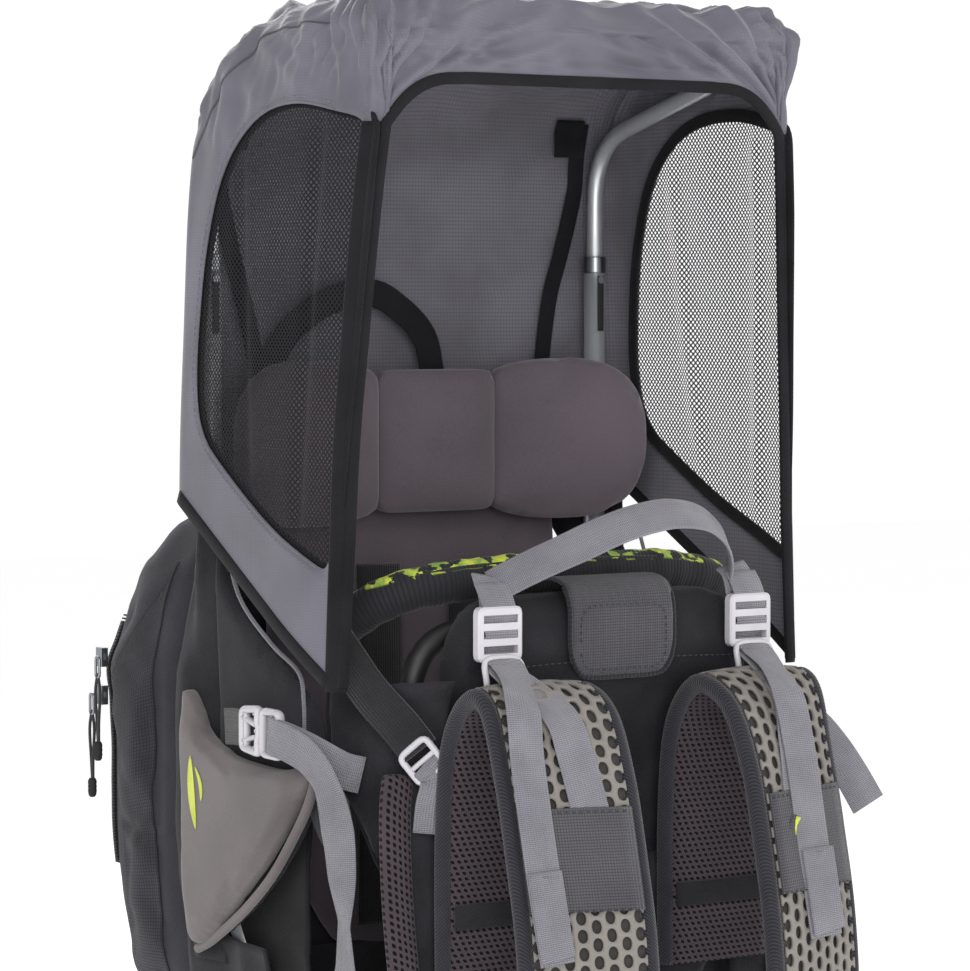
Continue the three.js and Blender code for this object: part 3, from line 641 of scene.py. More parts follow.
def laid_on(obj, points, toward, lift):
    """Points moved along a direction until they lie just above an object's surface."""
    mesh = obj.data
    tree = BVHTree.FromPolygons([v.co for v in mesh.vertices], [tuple(f.vertices) for f in mesh.polygons])
    toward = unit(toward)
    out = []
    for p in np.asarray(points, float):
        hit = tree.ray_cast(Vector(p - toward * 150) * MM, Vector(toward))[0]
        out.append(p if hit is None else np.array(hit) / MM - toward * lift)
    return np.array(out)


def grid_laid_on(obj, grid, toward, lift):
    """The same for a rows x columns grid of points."""
    grid = np.asarray(grid, float)
    return laid_on(obj, grid.reshape(-1, 3), toward, lift).reshape(grid.shape)


def groove(mesh, path, width, depth):
    """A sewn channel along a path on the surface."""
    near = distance_to(coordinates(mesh) / MM, np.asarray(path, float))
    pull = depth * np.exp(-((near / width) ** 2))
    set_coordinates(mesh, coordinates(mesh) - normals(mesh) * pull[:, None] * MM)


def crumple(mesh, amount, scale, seed):
    """Small uneven folds from smooth noise."""
    points = coordinates(mesh)
    push = [noise.noise(Vector(p) * 1000 / scale + Vector((seed, seed, seed))) for p in points]
    set_coordinates(mesh, points + normals(mesh) * np.array(push)[:, None] * amount * MM)


# ---------------------------------------------------------------- canopy
# Half width, front, rear, corner radius and height of the canopy's levels.
LEVELS = spline([
    (193, 20, 251, 20, 560), (192, 18, 251, 20, 745), (188, 13, 251, 20, 850), (184, 7, 250, 20, 940),
    (180, 2, 243, 22, 1000), (178, -1, 215, 20, 1030), (175, 0, 178, 22, 1050), (158, 12, 150, 26, 1068),
], 8)
TAPER = 5 / (193 * 251)
PINCH = np.array([(617, 0.045), (720, 0.075), (985, 0.085), (1020, 0.055), (1068, 0.02)])
HEM_FRONT, HEM_REAR = (24, 617), (246, 735)
CANOPY_TOP = 1068
WINDOW = [(8, 986), (80, 1001), (140, 994), (186, 960), (208, 900), (216, 820),
          (206, 776), (162, 750), (105, 720), (26, 690)]


def level(z):
    """(half width, front, rear, corner radius) of the canopy at height z."""
    return [float(np.interp(z, LEVELS[:, 4], LEVELS[:, i])) for i in range(4)]


def narrowed(x, y, z):
    """The canopy tapers to the rear, and the tension of its front edge pulls its legs inwards."""
    return x * (1 - TAPER * y - np.interp(z, PINCH[:, 0], PINCH[:, 1]) * max(0.0, 1 - y / 90) ** 2)


def wall_x(y, z, side, inset=0.0):
    """The side wall's x at (y, z)."""
    half, _, rear, radius = level(z)
    past = max(0.0, y - (rear - radius))
    x = half - inset - (radius - math.sqrt(max(radius**2 - past**2, 0.0)))
    return side * narrowed(x, y, z)


def hem_z(y):
    return float(np.interp(y, [HEM_FRONT[0], HEM_REAR[0]], [HEM_FRONT[1], HEM_REAR[1]]))


def arch_z(share):
    """The front opening's edge height; share is the distance from the middle, 0 to 1."""
    a = abs(share)
    if a >= 0.98:
        return HEM_FRONT[1]
    if a >= 0.955:
        return HEM_FRONT[1] + (982 - HEM_FRONT[1]) * (0.98 - a) / 0.025
    return 982 + 29 * (1 - (1 - min(1.0, (0.955 - a) / 0.33)) ** 2.6)


def canopy_columns():
    """The canopy's outline as (kind, share along that kind) pairs, all the way round."""
    half_front = np.concatenate([np.linspace(0, 0.6, 16), np.linspace(0.62, 0.955, 13)[:-1],
                                 np.linspace(0.955, 0.98, 7)[:-1], np.linspace(0.98, 1, 3)])
    front = np.concatenate([-half_front[::-1], half_front[1:]])
    columns = [("left", t) for t in np.linspace(0, 1, 36)]
    columns += [("rear_left", t) for t in np.linspace(0, 1, 9)[1:-1]]
    columns += [("rear", t) for t in np.linspace(-1, 1, 48)]
    columns += [("rear_right", t) for t in np.linspace(1, 0, 9)[1:-1]]
    columns += [("right", t) for t in np.linspace(1, 0, 36)]
    columns += [("corner_right", t) for t in (0.33, 0.67)]
    columns += [("front", t) for t in front[::-1]]
    return columns + [("corner_left", t) for t in (0.67, 0.33)]


def canopy_point(kind, share, z):
    half, front, rear, radius = level(z)
    near = 5.0
    if kind in ("left", "right"):
        x, y = half, front + near + (rear - radius - front - near) * share
    elif kind.startswith("rear_"):
        angle = math.pi / 2 * share
        x, y = half - radius + radius * math.cos(angle), rear - radius + radius * math.sin(angle)
    elif kind == "rear":
        x, y = (half - radius) * share, rear
    elif kind == "front":
        x, y = (half - near) * share, front
    else:
        angle = math.pi / 2 * share
        x, y = half - near + near * math.cos(angle), front + near - near * math.sin(angle)
    if kind in ("left", "rear_left", "corner_left"):
        x = -x
    return np.array([narrowed(x, y, z), y, z])


def inside(points, outline):
    """Which 2-D points lie inside a closed outline."""
    x, y = points[:, 0], points[:, 1]
    hit = np.zeros(len(points), bool)
    for (x0, y0), (x1, y1) in zip(outline, np.roll(outline, -1, 0)):
        crosses = (y0 > y) != (y1 > y)
        hit ^= crosses & (x < (x1 - x0) * (y - y0) / (y1 - y0 + 1e-12) + x0)
    return hit


def nearest_on(points, outline):
    """The nearest points on a closed 2-D outline."""
    best = np.full(len(points), 1e9)
    found = np.array(points, float)
    for a, b in zip(outline, np.roll(outline, -1, 0)):
        d = b - a
        t = np.clip(((points - a) @ d) / max(d @ d, 1e-12), 0, 1)
        spot = a + t[:, None] * d
        gap = np.linalg.norm(points - spot, axis=1)
        found = np.where((gap < best)[:, None], spot, found)
        best = np.minimum(best, gap)
    return found, best


def rounded_loop(points, radius, steps=5):
    """A closed 2-D outline with its corners rounded; radius is one for all or one per corner."""
    p = np.asarray(points, float)
    out = []
    radii = np.broadcast_to(radius, len(p))
    for before, corner, after, r in zip(np.roll(p, 1, 0), p, np.roll(p, -1, 0), radii):
        run_in, run_out = before - corner, after - corner
        entry = corner + unit(run_in) * min(r, np.linalg.norm(run_in) * 0.48)
        leave = corner + unit(run_out) * min(r, np.linalg.norm(run_out) * 0.48)
        for t in np.arange(steps + 1) / steps:
            out.append((1 - t) ** 2 * entry + 2 * t * (1 - t) * corner + t**2 * leave)
    return np.array(out)


def even_loop(outline, step):
    """The same closed outline with a point every step."""
    closed = np.vstack([outline, outline[:1]])
    length = travelled(closed)
    at = np.arange(0, length[-1] - step / 2, step)
    return np.stack([np.interp(at, length, closed[:, i]) for i in range(closed.shape[1])], 1)


WINDOW_LOOP = even_loop(rounded_loop(WINDOW, [10] + [30] * 8 + [12]), 3.0)


def folds(point, kind):
    """How far the canopy cloth stands out of its plain shape, in millimetres."""
    x, y, z = point
    side = 1 if x > 0 else -1
    on_wall = kind in ("left", "right")
    reach = y if on_wall else -(174 - abs(x))
    if kind == "rear":
        reach = 250.0
    up = z - 984
    radius = math.hypot(reach, up)
    angle = math.atan2(up, reach)
    gather = min(1, radius / 18) * max(0.0, 1 - radius / 190) ** 0.7
    wave = math.sin(angle * 17 + 2.2 * noise.noise(Vector((angle * 3, radius / 60, side * 4))))
    pleat = (1 - 2 * abs(wave) ** 0.7) * 8.5 * gather if up > -6 else 0.0
    if kind in ("front", "corner_left", "corner_right"):
        pleat *= min(1.0, max(0.0, (z - 988) / 24))
        if z < 984:
            return 0.0
    drape = 0.0
    if on_wall:
        drape = 3.6 * noise.noise(Vector((y / 26 + z / 160, z / 110, 7 + side)))
        if z > 975:
            drape += 3.4 * ridge(y / 15 + (z - 985) / 50, z / 60, 3 + side)
    elif kind == "front":
        drape = 4.2 * noise.noise(Vector((x / 55, z / 14 + abs(x) / 90, 1)))
        drape += 3.0 * ridge(x / 30 + z / 24, z / 22, 5)
    elif kind == "rear":
        slant, along = (x * 0.55 - z) / 46, (x + z * 0.55) / 190
        drape = 4.6 * noise.noise(Vector((slant, along, 2))) + 2.6 * ridge(slant * 1.6, along * 2, 9)
    if z > 1046:
        drape = 3.2 * noise.noise(Vector((x / 70, y / 34, 6))) + 2.2 * ridge(x / 34, y / 22, 8)
    return pleat + drape


def ridge(a, b, seed):
    """Creased noise, -1 to 1, with narrow crests."""
    return 1 - 3.2 * abs(noise.noise(Vector((a, b, seed))))


def make_canopy():
    columns = canopy_columns()
    rows = 48
    roof_rows = 14
    grid = np.zeros((rows + roof_rows, len(columns), 3))
    for c, (kind, share) in enumerate(columns):
        foot = canopy_point(kind, share, 650)
        low = arch_z(share) if kind == "front" else hem_z(foot[1])
        for r in range(rows):
            t = r / (rows - 1)
            grid[r, c] = canopy_point(kind, share, low + (CANOPY_TOP - low) * (1 - (1 - t) ** 1.5))
    middle = np.array([0, 81, CANOPY_TOP])
    for r in range(roof_rows):
        size = 1 - (r + 1) / (roof_rows + 0.6)
        grid[rows + r] = middle + (grid[rows - 1] - middle) * size
        grid[rows + r, :, 2] += 2.4 * (1 - size**2)
    flat = grid.copy()
    down = np.gradient(flat, axis=0)
    around = np.roll(flat, -1, 1) - np.roll(flat, 1, 1)
    out = unit(np.cross(down, around))
    _, gap = nearest_on(flat[..., 1:].reshape(-1, 2), WINDOW_LOOP)
    gap = gap.reshape(flat.shape[:2])
    for r in range(rows + roof_rows):
        for c, (kind, share) in enumerate(columns):
            amount = folds(flat[r, c], kind) * min(1.0, max(0.0, r / rows * 9 - 0.6))
            if kind in ("left", "right"):
                amount *= min(1.0, gap[r, c] / 30)
            grid[r, c] += out[r, c] * np.clip(amount, -10, 7)
    total_rows, total = grid.shape[:2]
    verts = grid.reshape(-1, 3)
    faces = np.array(grid_faces(total_rows, total, True))
    centres = verts[faces].mean(1)
    wall = [kind in ("left", "right") for kind, _ in columns]
    on_wall = np.array([wall[f[0] % total] and wall[f[1] % total] for f in faces])
    gone = on_wall & inside(centres[:, 1:], WINDOW_LOOP) & (centres[:, 2] < 1010)
    edge = np.intersect1d(faces[gone].ravel(), faces[~gone].ravel())
    snapped, _ = nearest_on(verts[edge, 1:], WINDOW_LOOP)
    for index, (y, z) in zip(edge, snapped):
        verts[index] = (wall_x(y, z, 1 if verts[index, 0] > 0 else -1), y, z)
    kept = [tuple(f) for f in faces[~gone]]
    last = (total_rows - 1) * total
    kept.append(tuple(last + c for c in range(total)))
    uvs = []
    arc = travelled(flat[0, :, :2])
    for r in range(total_rows):
        for c in range(total):
            lift = travelled(flat[rows - 1 : r + 1, c])[-1] if r >= rows else 0
            uvs.append((arc[c], flat[r, c, 2] + lift))
    obj = raw_object("canopy_cloth", verts, kept, uvs)
    tidy = bmesh.new()
    tidy.from_mesh(obj.data)
    loose = [v for v in tidy.verts if not v.link_faces]
    bmesh.ops.delete(tidy, geom=loose, context="VERTS")
    tidy.to_mesh(obj.data)
    tidy.free()
    subdivide(obj)
    count = len(obj.data.polygons)
    thicken(obj, 0.9, -1)
    settle(obj, None, [CANOPY_IN, CANOPY_OUT], ["canopy_fabric"])
    for face in obj.data.polygons[count : 2 * count]:
        face.material_index = 1
    return blend_down(obj)


def blend_down(obj):
    """Bakes a canopy piece's placement into its mesh; the cloth is not made to follow the poles."""
    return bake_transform(obj)


def make_net(label, side):
    """The side window's net: real diamond holes, a share of each cell, between flat strands."""
    half = 3.0 / math.sqrt(2)
    hole = 0.62
    keys, places, faces = {}, [], []

    def vertex(y, z):
        key = (round(y * 50), round(z * 50))
        if key not in keys:
            keys[key] = len(places)
            places.append((y, z))
        return keys[key]

    low, high = WINDOW_LOOP.min(0), WINDOW_LOOP.max(0)
    cells = [(a * half, b * half)
             for a in range(int(low[0] / half), int(high[0] / half) + 2)
             for b in range(int(low[1] / half), int(high[1] / half) + 2) if (a + b) % 2 == 0]
    cells = np.array(cells)
    for y, z in cells[inside(cells, WINDOW_LOOP)]:
        outer = [vertex(y + half, z), vertex(y, z + half), vertex(y - half, z), vertex(y, z - half)]
        inner = [vertex(y + half * hole, z), vertex(y, z + half * hole),
                 vertex(y - half * hole, z), vertex(y, z - half * hole)]
        faces += [(outer[k], outer[(k + 1) % 4], inner[(k + 1) % 4], inner[k]) for k in range(4)]
    _, gap = nearest_on(np.array(places), WINDOW_LOOP[::4])
    verts = []
    for (y, z), edge in zip(places, gap):
        fold = 3.2 * math.exp(-(((y - 62 + (z - 850) * 0.05) / 7) ** 2))
        fold += 2.6 * math.exp(-(((y - 150 - (z - 850) * 0.12) / 8) ** 2))
        fold += 1.8 * noise.noise(Vector((y / 45, z / 90, side)))
        verts.append((wall_x(y, z, side, 1.6 + fold * min(1.0, edge / 22)), y, z))
    net = raw_object(f"window_net_{label}", verts, faces)
    blend_down(settle(net, None, NET, [f"canopy_mesh_{label}"]))


def make_window_edges(label, side):
    """Binding inside the window's edge and a stitched roll outside it."""
    centre = WINDOW_LOOP.mean(0)
    along = tangents(WINDOW_LOOP, True)
    outward = np.stack([-along[:, 1], along[:, 0]], 1)
    if np.sum((WINDOW_LOOP - centre) * outward) < 0:
        outward = -outward

    def path(grow, inset):
        loop = WINDOW_LOOP + outward * grow
        return np.array([(wall_x(max(y, 4), z, side, inset), max(y, 4), z) for y, z in loop])

    facing = (side, 0, 0)
    under = path(1.5, 3.2)
    under[:, 1] -= 5 * np.clip((22 - under[:, 1]) / 12, 0, 1)
    start = int(np.argmin(WINDOW_LOOP[:, 0]))
    behind_leg = np.roll(WINDOW_LOOP, -start, 0)[:, 0] > 36
    blend_down(swept(f"window_binding_{label}", under, facing, band(4.6, 0.5, 4, 1.1), None, BINDING,
                     "black_cloth", closed=True))
    roll = np.roll(path(0.8, -0.5), -start, 0)[behind_leg]
    blend_down(swept(f"window_roll_{label}", roll, facing, oval(1, 1, 8), None, CANOPY_OUT, "canopy_cloth"))
    seam = np.roll(path(4.6, -1.1), -start, 0)[behind_leg]
    blend_down(stitches(f"window_stitches_{label}", seam, facing, None, THREAD, radius=0.3))


def make_front_binding():
    """One folded binding up the left leg, over the arch and down the right leg, with flanges on the walls."""
    leg, bend = np.linspace(0.955, 0.98, 26), np.linspace(0.6, 0.945, 14)
    shares = np.concatenate([-leg[::-1], -bend[::-1], np.linspace(-0.55, 0.55, 26), bend, leg])
    path = np.array([canopy_point("front", share, arch_z(share)) + (0, -1.4, 0) for share in shares])
    middle = np.array([0, 0, 850.0])
    outward = unit((path - middle) * [1, 0, 1])
    outward[np.abs(shares) < 0.62] = (0, 0, 1)
    on_leg = np.abs(shares) > 0.95
    outward[on_leg] = [(np.sign(s), 0, 0) for s in shares[on_leg]]
    path = path + outward * 2.6
    blend_down(swept("front_binding", path, (0, -1, 0), band(4, 0.8, 3.4, 1.8), None, BINDING, "black_cloth"))
    proud = 1.1
    for label, side in SIDES.items():
        corner = f"corner_{WORD[label]}"
        rows = []
        for z in np.linspace(HEM_FRONT[1] - 3, 984, 70):
            near = level(z)[1]
            row = [canopy_point("front", side * s, z) + (0, -proud, 0) for s in (0.975, 0.985, 0.995)]
            row += [canopy_point(corner, t, z) + (side * proud * (1 - t), -proud * t, 0)
                    for t in (0.8, 0.5, 0.2)]
            row += [(wall_x(near + d, z, side, -proud), near + d, z) for d in (5.6, 6.6, 7.6)]
            rows.append(row)
        blend_down(sheet(f"front_leg_binding_{label}", rows, None, BINDING, 1.4))


def make_canopy_trim(cloth):
    """Hem bands, roof seams, the seam tapes inside and the strap over the headrest."""
    for label, side in SIDES.items():
        ys = np.linspace(26, 236, 50)
        hem = np.array([(wall_x(y, hem_z(y) + 2, side, -0.8), y, hem_z(y) + 2) for y in ys])
        blend_down(swept(f"hem_band_{label}", hem, (side, 0, 0), HEM_BAND, None, BINDING, "black_cloth"))
        seam = ((52, 1053), (92, 1052), (136, 1046), (196, 1008), (232, 968))
        seam = laid_on(cloth, spline([(side * 180, y, z) for y, z in seam], 3), (-side, 0, -0.25), 0.1)
        ups = transported(seam, (side, 0, 0.4))
        blend_down(swept(f"roof_seam_{label}", seam, ups, oval(0.9, 0.9, 8), None, GRID, "canopy_cloth"))
        tape = ((150, 1000), (149, 975), (148, 943), (141, 906), (129, 869), (122, 824), (116, 748))
        tape = laid_on(cloth, spline([(side * x, 244, z) for x, z in tape], 6), (0, 1, 0), 3.8)
        blend_down(ribbon(f"seam_tape_{label}", tape[::4], (0, -1, 0), 13, None, BINDING, "black_cloth", 1.6))
        patch = laid_on(cloth, [(side * 140, 244, z) for z in (1002, 993, 984, 975)], (0, 1, 0), 4.2)
        blend_down(ribbon(f"corner_patch_{label}", patch, (0, -1, 0), 24, None, BINDING, "black_cloth", 1.6))
    hem = np.array([canopy_point("rear", s, HEM_REAR[1] + 4) for s in np.linspace(-1, 1, 40)])
    blend_down(swept("hem_band_rear", hem, (0, 1, 0), HEM_BAND, None, BINDING, "black_cloth"))
    strap = [(-118, 243, 800), (-104, 242, 838), (-70, 240, 866), (-33, 237, 874), (-8, 236, 862),
             (12, 236, 842), (19, 236, 815)]
    blend_down(ribbon("headrest_strap", strap, (0, -1, 0), 20, None, BINDING, "black_cloth"))


canopy_cloth = make_canopy()
for label, side in SIDES.items():
    make_net(label, side)
    make_window_edges(label, side)
make_front_binding()
make_canopy_trim(canopy_cloth)


# ---------------------------------------------------------------- frame, stand and hard parts
def dress(node, material, bevel):
    """A CAD node that stays: a real material and softened edges."""
    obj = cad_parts[node]
    obj.data.materials.clear()
    obj.data.materials.append(material)
    rounded = obj.modifiers.new("edges", "BEVEL")
    rounded.width = bevel * MM
    rounded.segments = 2
    rounded.limit_method = "ANGLE"
    rounded.angle_limit = math.radians(35)
    rounded.harden_normals = True


def scaled_rings(path, rings, size):
    """Rings drawn in or out about their path's points; size is each ring's scale."""
    centre = path[:, None]
    return centre + (rings - centre) * np.asarray(size, float)[:, None, None]


def grooved_rod(name, centre, half_length, radius, body, material, stands_for):
    """A rod along X with rounded ends and shallow grooves round it."""
    count, ribs = 60, 7
    xs = np.linspace(-half_length, half_length, count)
    path = np.array([(centre[0] + x, centre[1], centre[2]) for x in xs])
    grooves = 1 - 0.07 * np.maximum(0, np.cos(xs / half_length * math.pi * ribs)) ** 3
    ends = np.clip((half_length - np.abs(xs)) / 3, 0, 1)
    size = grooves * (0.72 + 0.28 * np.sqrt(1 - (1 - ends) ** 2))
    rings = scaled_rings(path, sweep_rings(path, (0, 0, 1), oval(radius, radius, 28)), size)
    return settle(raw_object(name, rings, capped_faces(count, 28)), body, material, stands_for)


POST_X, POST_Y = 162, 238


def mirrored(points, *middle):
    """Points on the left, any points in the middle, then the left ones' mirror images in reverse order."""
    return [*points, *middle, *((-x, y, z) for x, y, z in reversed(points))]


def make_frame():
    w, y = 125, 28
    hoop = bent(mirrored([(-w, 0, 18), (-w, 0, 60), (-w, y, 190), (-w, y, 650)]), 50)
    tube("frame_hoop", hoop, 8, "pack", BLACK_PAINT, "aluminium_tube", ["back_frame"])
    bar = np.array([(x, y, 224) for x in np.linspace(-116, 116, 30)])
    swept("flat_cross_bar", bar, (0, -1, 0), band(12, 1.5, 11, 2.6), "pack", ALUMINIUM, "aluminium_tube",
          ["cross_bar"])
    for label, side in SIDES.items():
        for z in (217, 231):
            rivet = [(side * 104, y - 5.2, z), (side * 104, y - 3.6, z), (side * 104, y - 2.2, z)]
            tube(f"rivet_{label}_{z}", rivet, 2.6, "pack", STEEL, "steel_pin", sides=12)
        post = bent([(side * 148, 172, 302.5), (side * 148, 172, 378), (side * POST_X, POST_Y, 472),
                     (side * POST_X, POST_Y, 900)], 40)
        tube(f"post_tube_{label}", post, 8, "pack", ALUMINIUM, "aluminium_tube", [f"rear_post_{label}"])
        collar = np.array([(side * POST_X, POST_Y, z) for z in (889, 890, 893, 898, 900.5, 901)])
        tube(f"post_collar_{label}", collar, 8.5, "pack", STEEL, "steel_pin")
        # Painted shade: a thin dark rubber strip on the post's front stands in for the shaded opening of its
        # slot.
        slot_shade_path = [(side * POST_X, 229.7, z) for z in (846, 866, 887)]
        ribbon(f"post_slot_shade_{label}", slot_shade_path, (0, -1, 0), 5.2, "pack", RUBBER, "black_plastic", 0.9)
        for part, material, bevel in (("hub", PLASTIC_BLACK, 1.2), ("knuckle", PLASTIC_BLACK, 0.8),
                                      ("pivot_pin", STEEL, 0.5), ("snap_button", STEEL, 0.5)):
            dress(f"{part}_{label}", material, bevel)
        dress(f"zip_slider_{'top' if side < 0 else 'low'}", STEEL, 0.6)
        grooved_rod(f"stand_sleeve_{label}", (side * 80, 330, 12), 34, 12, "kickstand", RUBBER,
                    [f"kickstand_foot_{label}"])
    pole = bent(mirrored([(-POST_X, POST_Y, 812), (-POST_X, POST_Y, 984), (-159, 13, 1040)]), 44)
    tube("canopy_pole", pole, 6, "canopy", ALUMINIUM, "aluminium_tube", ["canopy_hoop"])
    stand = bent(mirrored([(-163, 177.9, 249.8), (-163, 330, 12)]), 45)
    tube("stand_tube", stand, 7, "kickstand", ALUMINIUM, "aluminium_tube", ["kickstand_tube"])
    dress("front_foot", RUBBER, 1.5)


def link_ring(name, path, body, material, radius, sides=10, slot="grey_plastic"):
    """A closed rod, for buckle frames and lift tabs."""
    path = np.asarray(path, float)
    ups = transported(path, (0, -1, 0.2))
    return swept(name, path, ups, oval(radius, radius, sides), body, material, slot, closed=True)


def make_ladder_locks():
    for label in SIDES:
        body = f"lock_{WORD[label]}"
        dress(f"ladder_lock_{label}", PLASTIC_GREY, 0.7)
        low, high = corners(f"ladder_lock_{label}")
        x, y, z = (low + high) / 2
        tab = even_loop(rounded_loop([(-15, 0), (15, 0), (13.5, -24), (-13.5, -24)], 9), 2.0)
        bend = [(x + a, y - 4 - 5 * math.sin(-b / 24 * 2.4), low[2] + 3 + b) for a, b in tab]
        link_ring(f"lock_tab_{label}", bend, body, PLASTIC_GREY, 2.1)
        loop = [(x, y + a, high[2] + b) for a, b in ((9, 14), (2, 6), (-3, -4), (-1, -11), (4.5, -9))]
        ribbon(f"lock_anchor_{label}", loop, (0, -1, 0.25), WEB_WIDTH, "pack")
        weave = [(x, y + a, z + b) for a, b in ((1, 7), (-3.4, 2), (-4.6, -1), (1, -6), (2.4, -12), (-2, -19))]
        ribbon(f"lock_threading_{label}", weave, (0, -1, 0.1), WEB_WIDTH - 1, body)


SIDE_BUCKLE_X = 194


def buckle_rods(name, body, side, loop, bars, stands_for):
    """A moulded buckle half: a rod frame and bars in the plane of the side panel, joined in one piece."""
    outline = even_loop(rounded_loop(loop, 4), 1.6)
    path = np.array([(side * SIDE_BUCKLE_X, y, z) for y, z in outline])
    parts = [swept_shape("rod", path, (side, 0, 0), oval(2.6, 3.6, 12), True)]
    for a, b, wide, thick in bars:
        run = [np.array(a) * (1 - t) + np.array(b) * t for t in np.linspace(0, 1, 6)]
        path = np.array([(side * SIDE_BUCKLE_X, y, z) for y, z in run])
        parts.append(swept_shape("rod", path, (side, 0, 0), oval(wide, thick, 12)))
    settle(merged(name, parts), body, PLASTIC_GREY, stands_for)


def make_side_buckles():
    """The side-release buckles, their anchors on the pockets and the grey webbing in front of them."""
    for label, side in SIDES.items():
        low, high = corners(f"side_clip_{label}")
        x, z = side * SIDE_BUCKLE_X, (low[2] + high[2]) / 2
        clip = f"side_clip_{WORD[label]}"
        socket = ((108, -15), (131, -13), (131, 13), (108, 15), (110, 7), (106, 0), (110, -7))
        socket = [(y, z + h) for y, h in socket]
        ribs = [((129, z + 8 * s), (113, z + 4 * s), 1.8, 3.0) for s in (-1, 1)]
        ribs.append(((126, z - 12), (126, z + 12), 1.6, 2.6))
        buckle_rods(f"socket_half_{label}", "pack", side, socket, ribs, [f"side_buckle_{label}"])
        arrow = [(80, z - 14.5), (102, z - 14.5), (102, z + 14.5), (80, z + 14.5)]
        bars = [((88, z - 14), (88, z + 14), 2.0, 3.0)]
        bars += [((103, z + 9 * s), (115, z + 11.5 * s), 1.5, 2.0) for s in (-1, 1)]
        bars += [((101, z + 8 * s), (112, z), 1.6, 2.4) for s in (-1, 1)]
        buckle_rods(f"arrow_half_{label}", clip, side, arrow, bars, [f"side_clip_{label}"])
        run = [(196, 92, 0), (197, 84, -0.5), (193, 68, -3), (187, 54, -8), (179, 44, -14), (170, 36, -20),
               (160, 30, -23)]
        drop = [(198, 90, 0), (199, 80, -1), (196, 64, -4), (190, 48, -12), (183, 36, -30), (178, 30, -62),
                (176, 28, -100), (173, 30, -143), (168, 36, -190), (158, 46, -240)]
        run_turns = [(1, -0.2, 0)] * 3 + [(1, -0.6, 0)] * 4
        drop_turns = [(1, -0.2, 0)] * 3 + [(1, -0.5, 0.3), (1, -0.3, 0.2), (1, 0.25, 0), (1, 0, 0),
                                           (1, -0.5, 0), (1, -0.8, 0), (1, -1, 0)]
        for name, points, turns in (("run", run, run_turns), ("drop", drop, drop_turns)):
            path = [(side * a, b, z + c) for a, b, c in points]
            web = ribbon(f"side_webbing_{name}_{label}", path, np.array(turns) * [side, 1, 1], WEB_WIDTH, None)
            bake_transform(web)
        anchor = [(x - side * a, b, z - c) for a, b, c in ((0, 126, 0), (0, 136, 0), (3, 150, 1), (7, 170, 3))]
        ribbon(f"buckle_anchor_{label}", anchor, (side, 0, 0), WEB_WIDTH, "pack", WEB_BLACK, "black_cloth")


def make_gusset_webbing():
    """The wide black webbing from the canopy side to the panel's lower ladder lock, with its grey tail."""
    for label, side in SIDES.items():
        wide = ((168, 62, 652), (166, 40, 634), (160, 18, 612), (150, -2, 592), (141, -12, 576))
        wide = [(side * x, y, z) for x, y, z in wide]
        ups = [(side, -0.8, 0.2)] * 3 + [(side * 0.8, -1, 0.2)] * 2
        ribbon(f"gusset_webbing_{label}", wide, ups, 27, "pack", WEB_BLACK, "black_cloth", 2.4)
        frame_loop = even_loop(rounded_loop([(-14, -12), (14, -12), (14, 12), (-14, 12)], 5), 2.2)
        centre = np.array([side * 140, -14, 570])
        across = unit([side * 0.55, 0.45, -0.62])
        down = unit([-side * 0.45, -0.35, -0.7])
        ring = [centre + down * a * 0.8 + across * b * 0.9 for a, b in frame_loop]
        link_ring(f"gusset_lock_{label}", ring, "pack", PLASTIC_GREY, 2.3)
        bar = [centre - across * 11, centre, centre + across * 11]
        tube(f"gusset_lock_bar_{label}", spline(bar, 4), 1.8, "pack", PLASTIC_GREY, "grey_plastic", sides=10)
        tail = [centre + down * 2, centre + down * 14 + np.array([0, -2, 0]), (side * 134, -16, 540),
                (side * 135, -14, 522)]
        ribbon(f"gusset_tail_{label}", tail, (side * 0.5, -1, 0), 22, "pack")


# ---------------------------------------------------------------- shoulder harness
STRAP_X, STRAP_WIDTH = 88, 92
STRAP_LINE = spline([(-22, 420), (-22, 520), (-30, 582), (-56, 613), (-84, 605), (-103, 565),
                     (-117, 515), (-129, 460), (-133, 400), (-122, 335), (-98, 285)], 3.0)


def strap_frame(side):
    """Centre line, across and outward directions of a strap; its front run turns a little outwards."""
    line = np.array([(side * STRAP_X, y, z) for y, z in STRAP_LINE])
    along = tangents(line)
    out = np.stack([np.zeros(len(line)), along[:, 2], -along[:, 1]], 1)
    front = np.clip((-STRAP_LINE[:, 0] - 58) / 50, 0, 1)
    turn = np.radians(17) * front * front * (3 - 2 * front) * side
    across = np.stack([np.cos(turn), np.sin(turn), np.zeros(len(line))], 1)
    out = out - across * np.sum(out * across, 1, keepdims=True)
    return line, across, unit(out)


def strap_surface(side, offsets, heights, first, last):
    """A grid over part of a strap: offsets across it, each at its own height above the middle."""
    line, across, out = strap_frame(side)
    rows = []
    for i in range(first, last):
        rows.append([line[i] + across[i] * a + out[i] * h for a, h in zip(offsets, heights)])
    return np.array(rows)


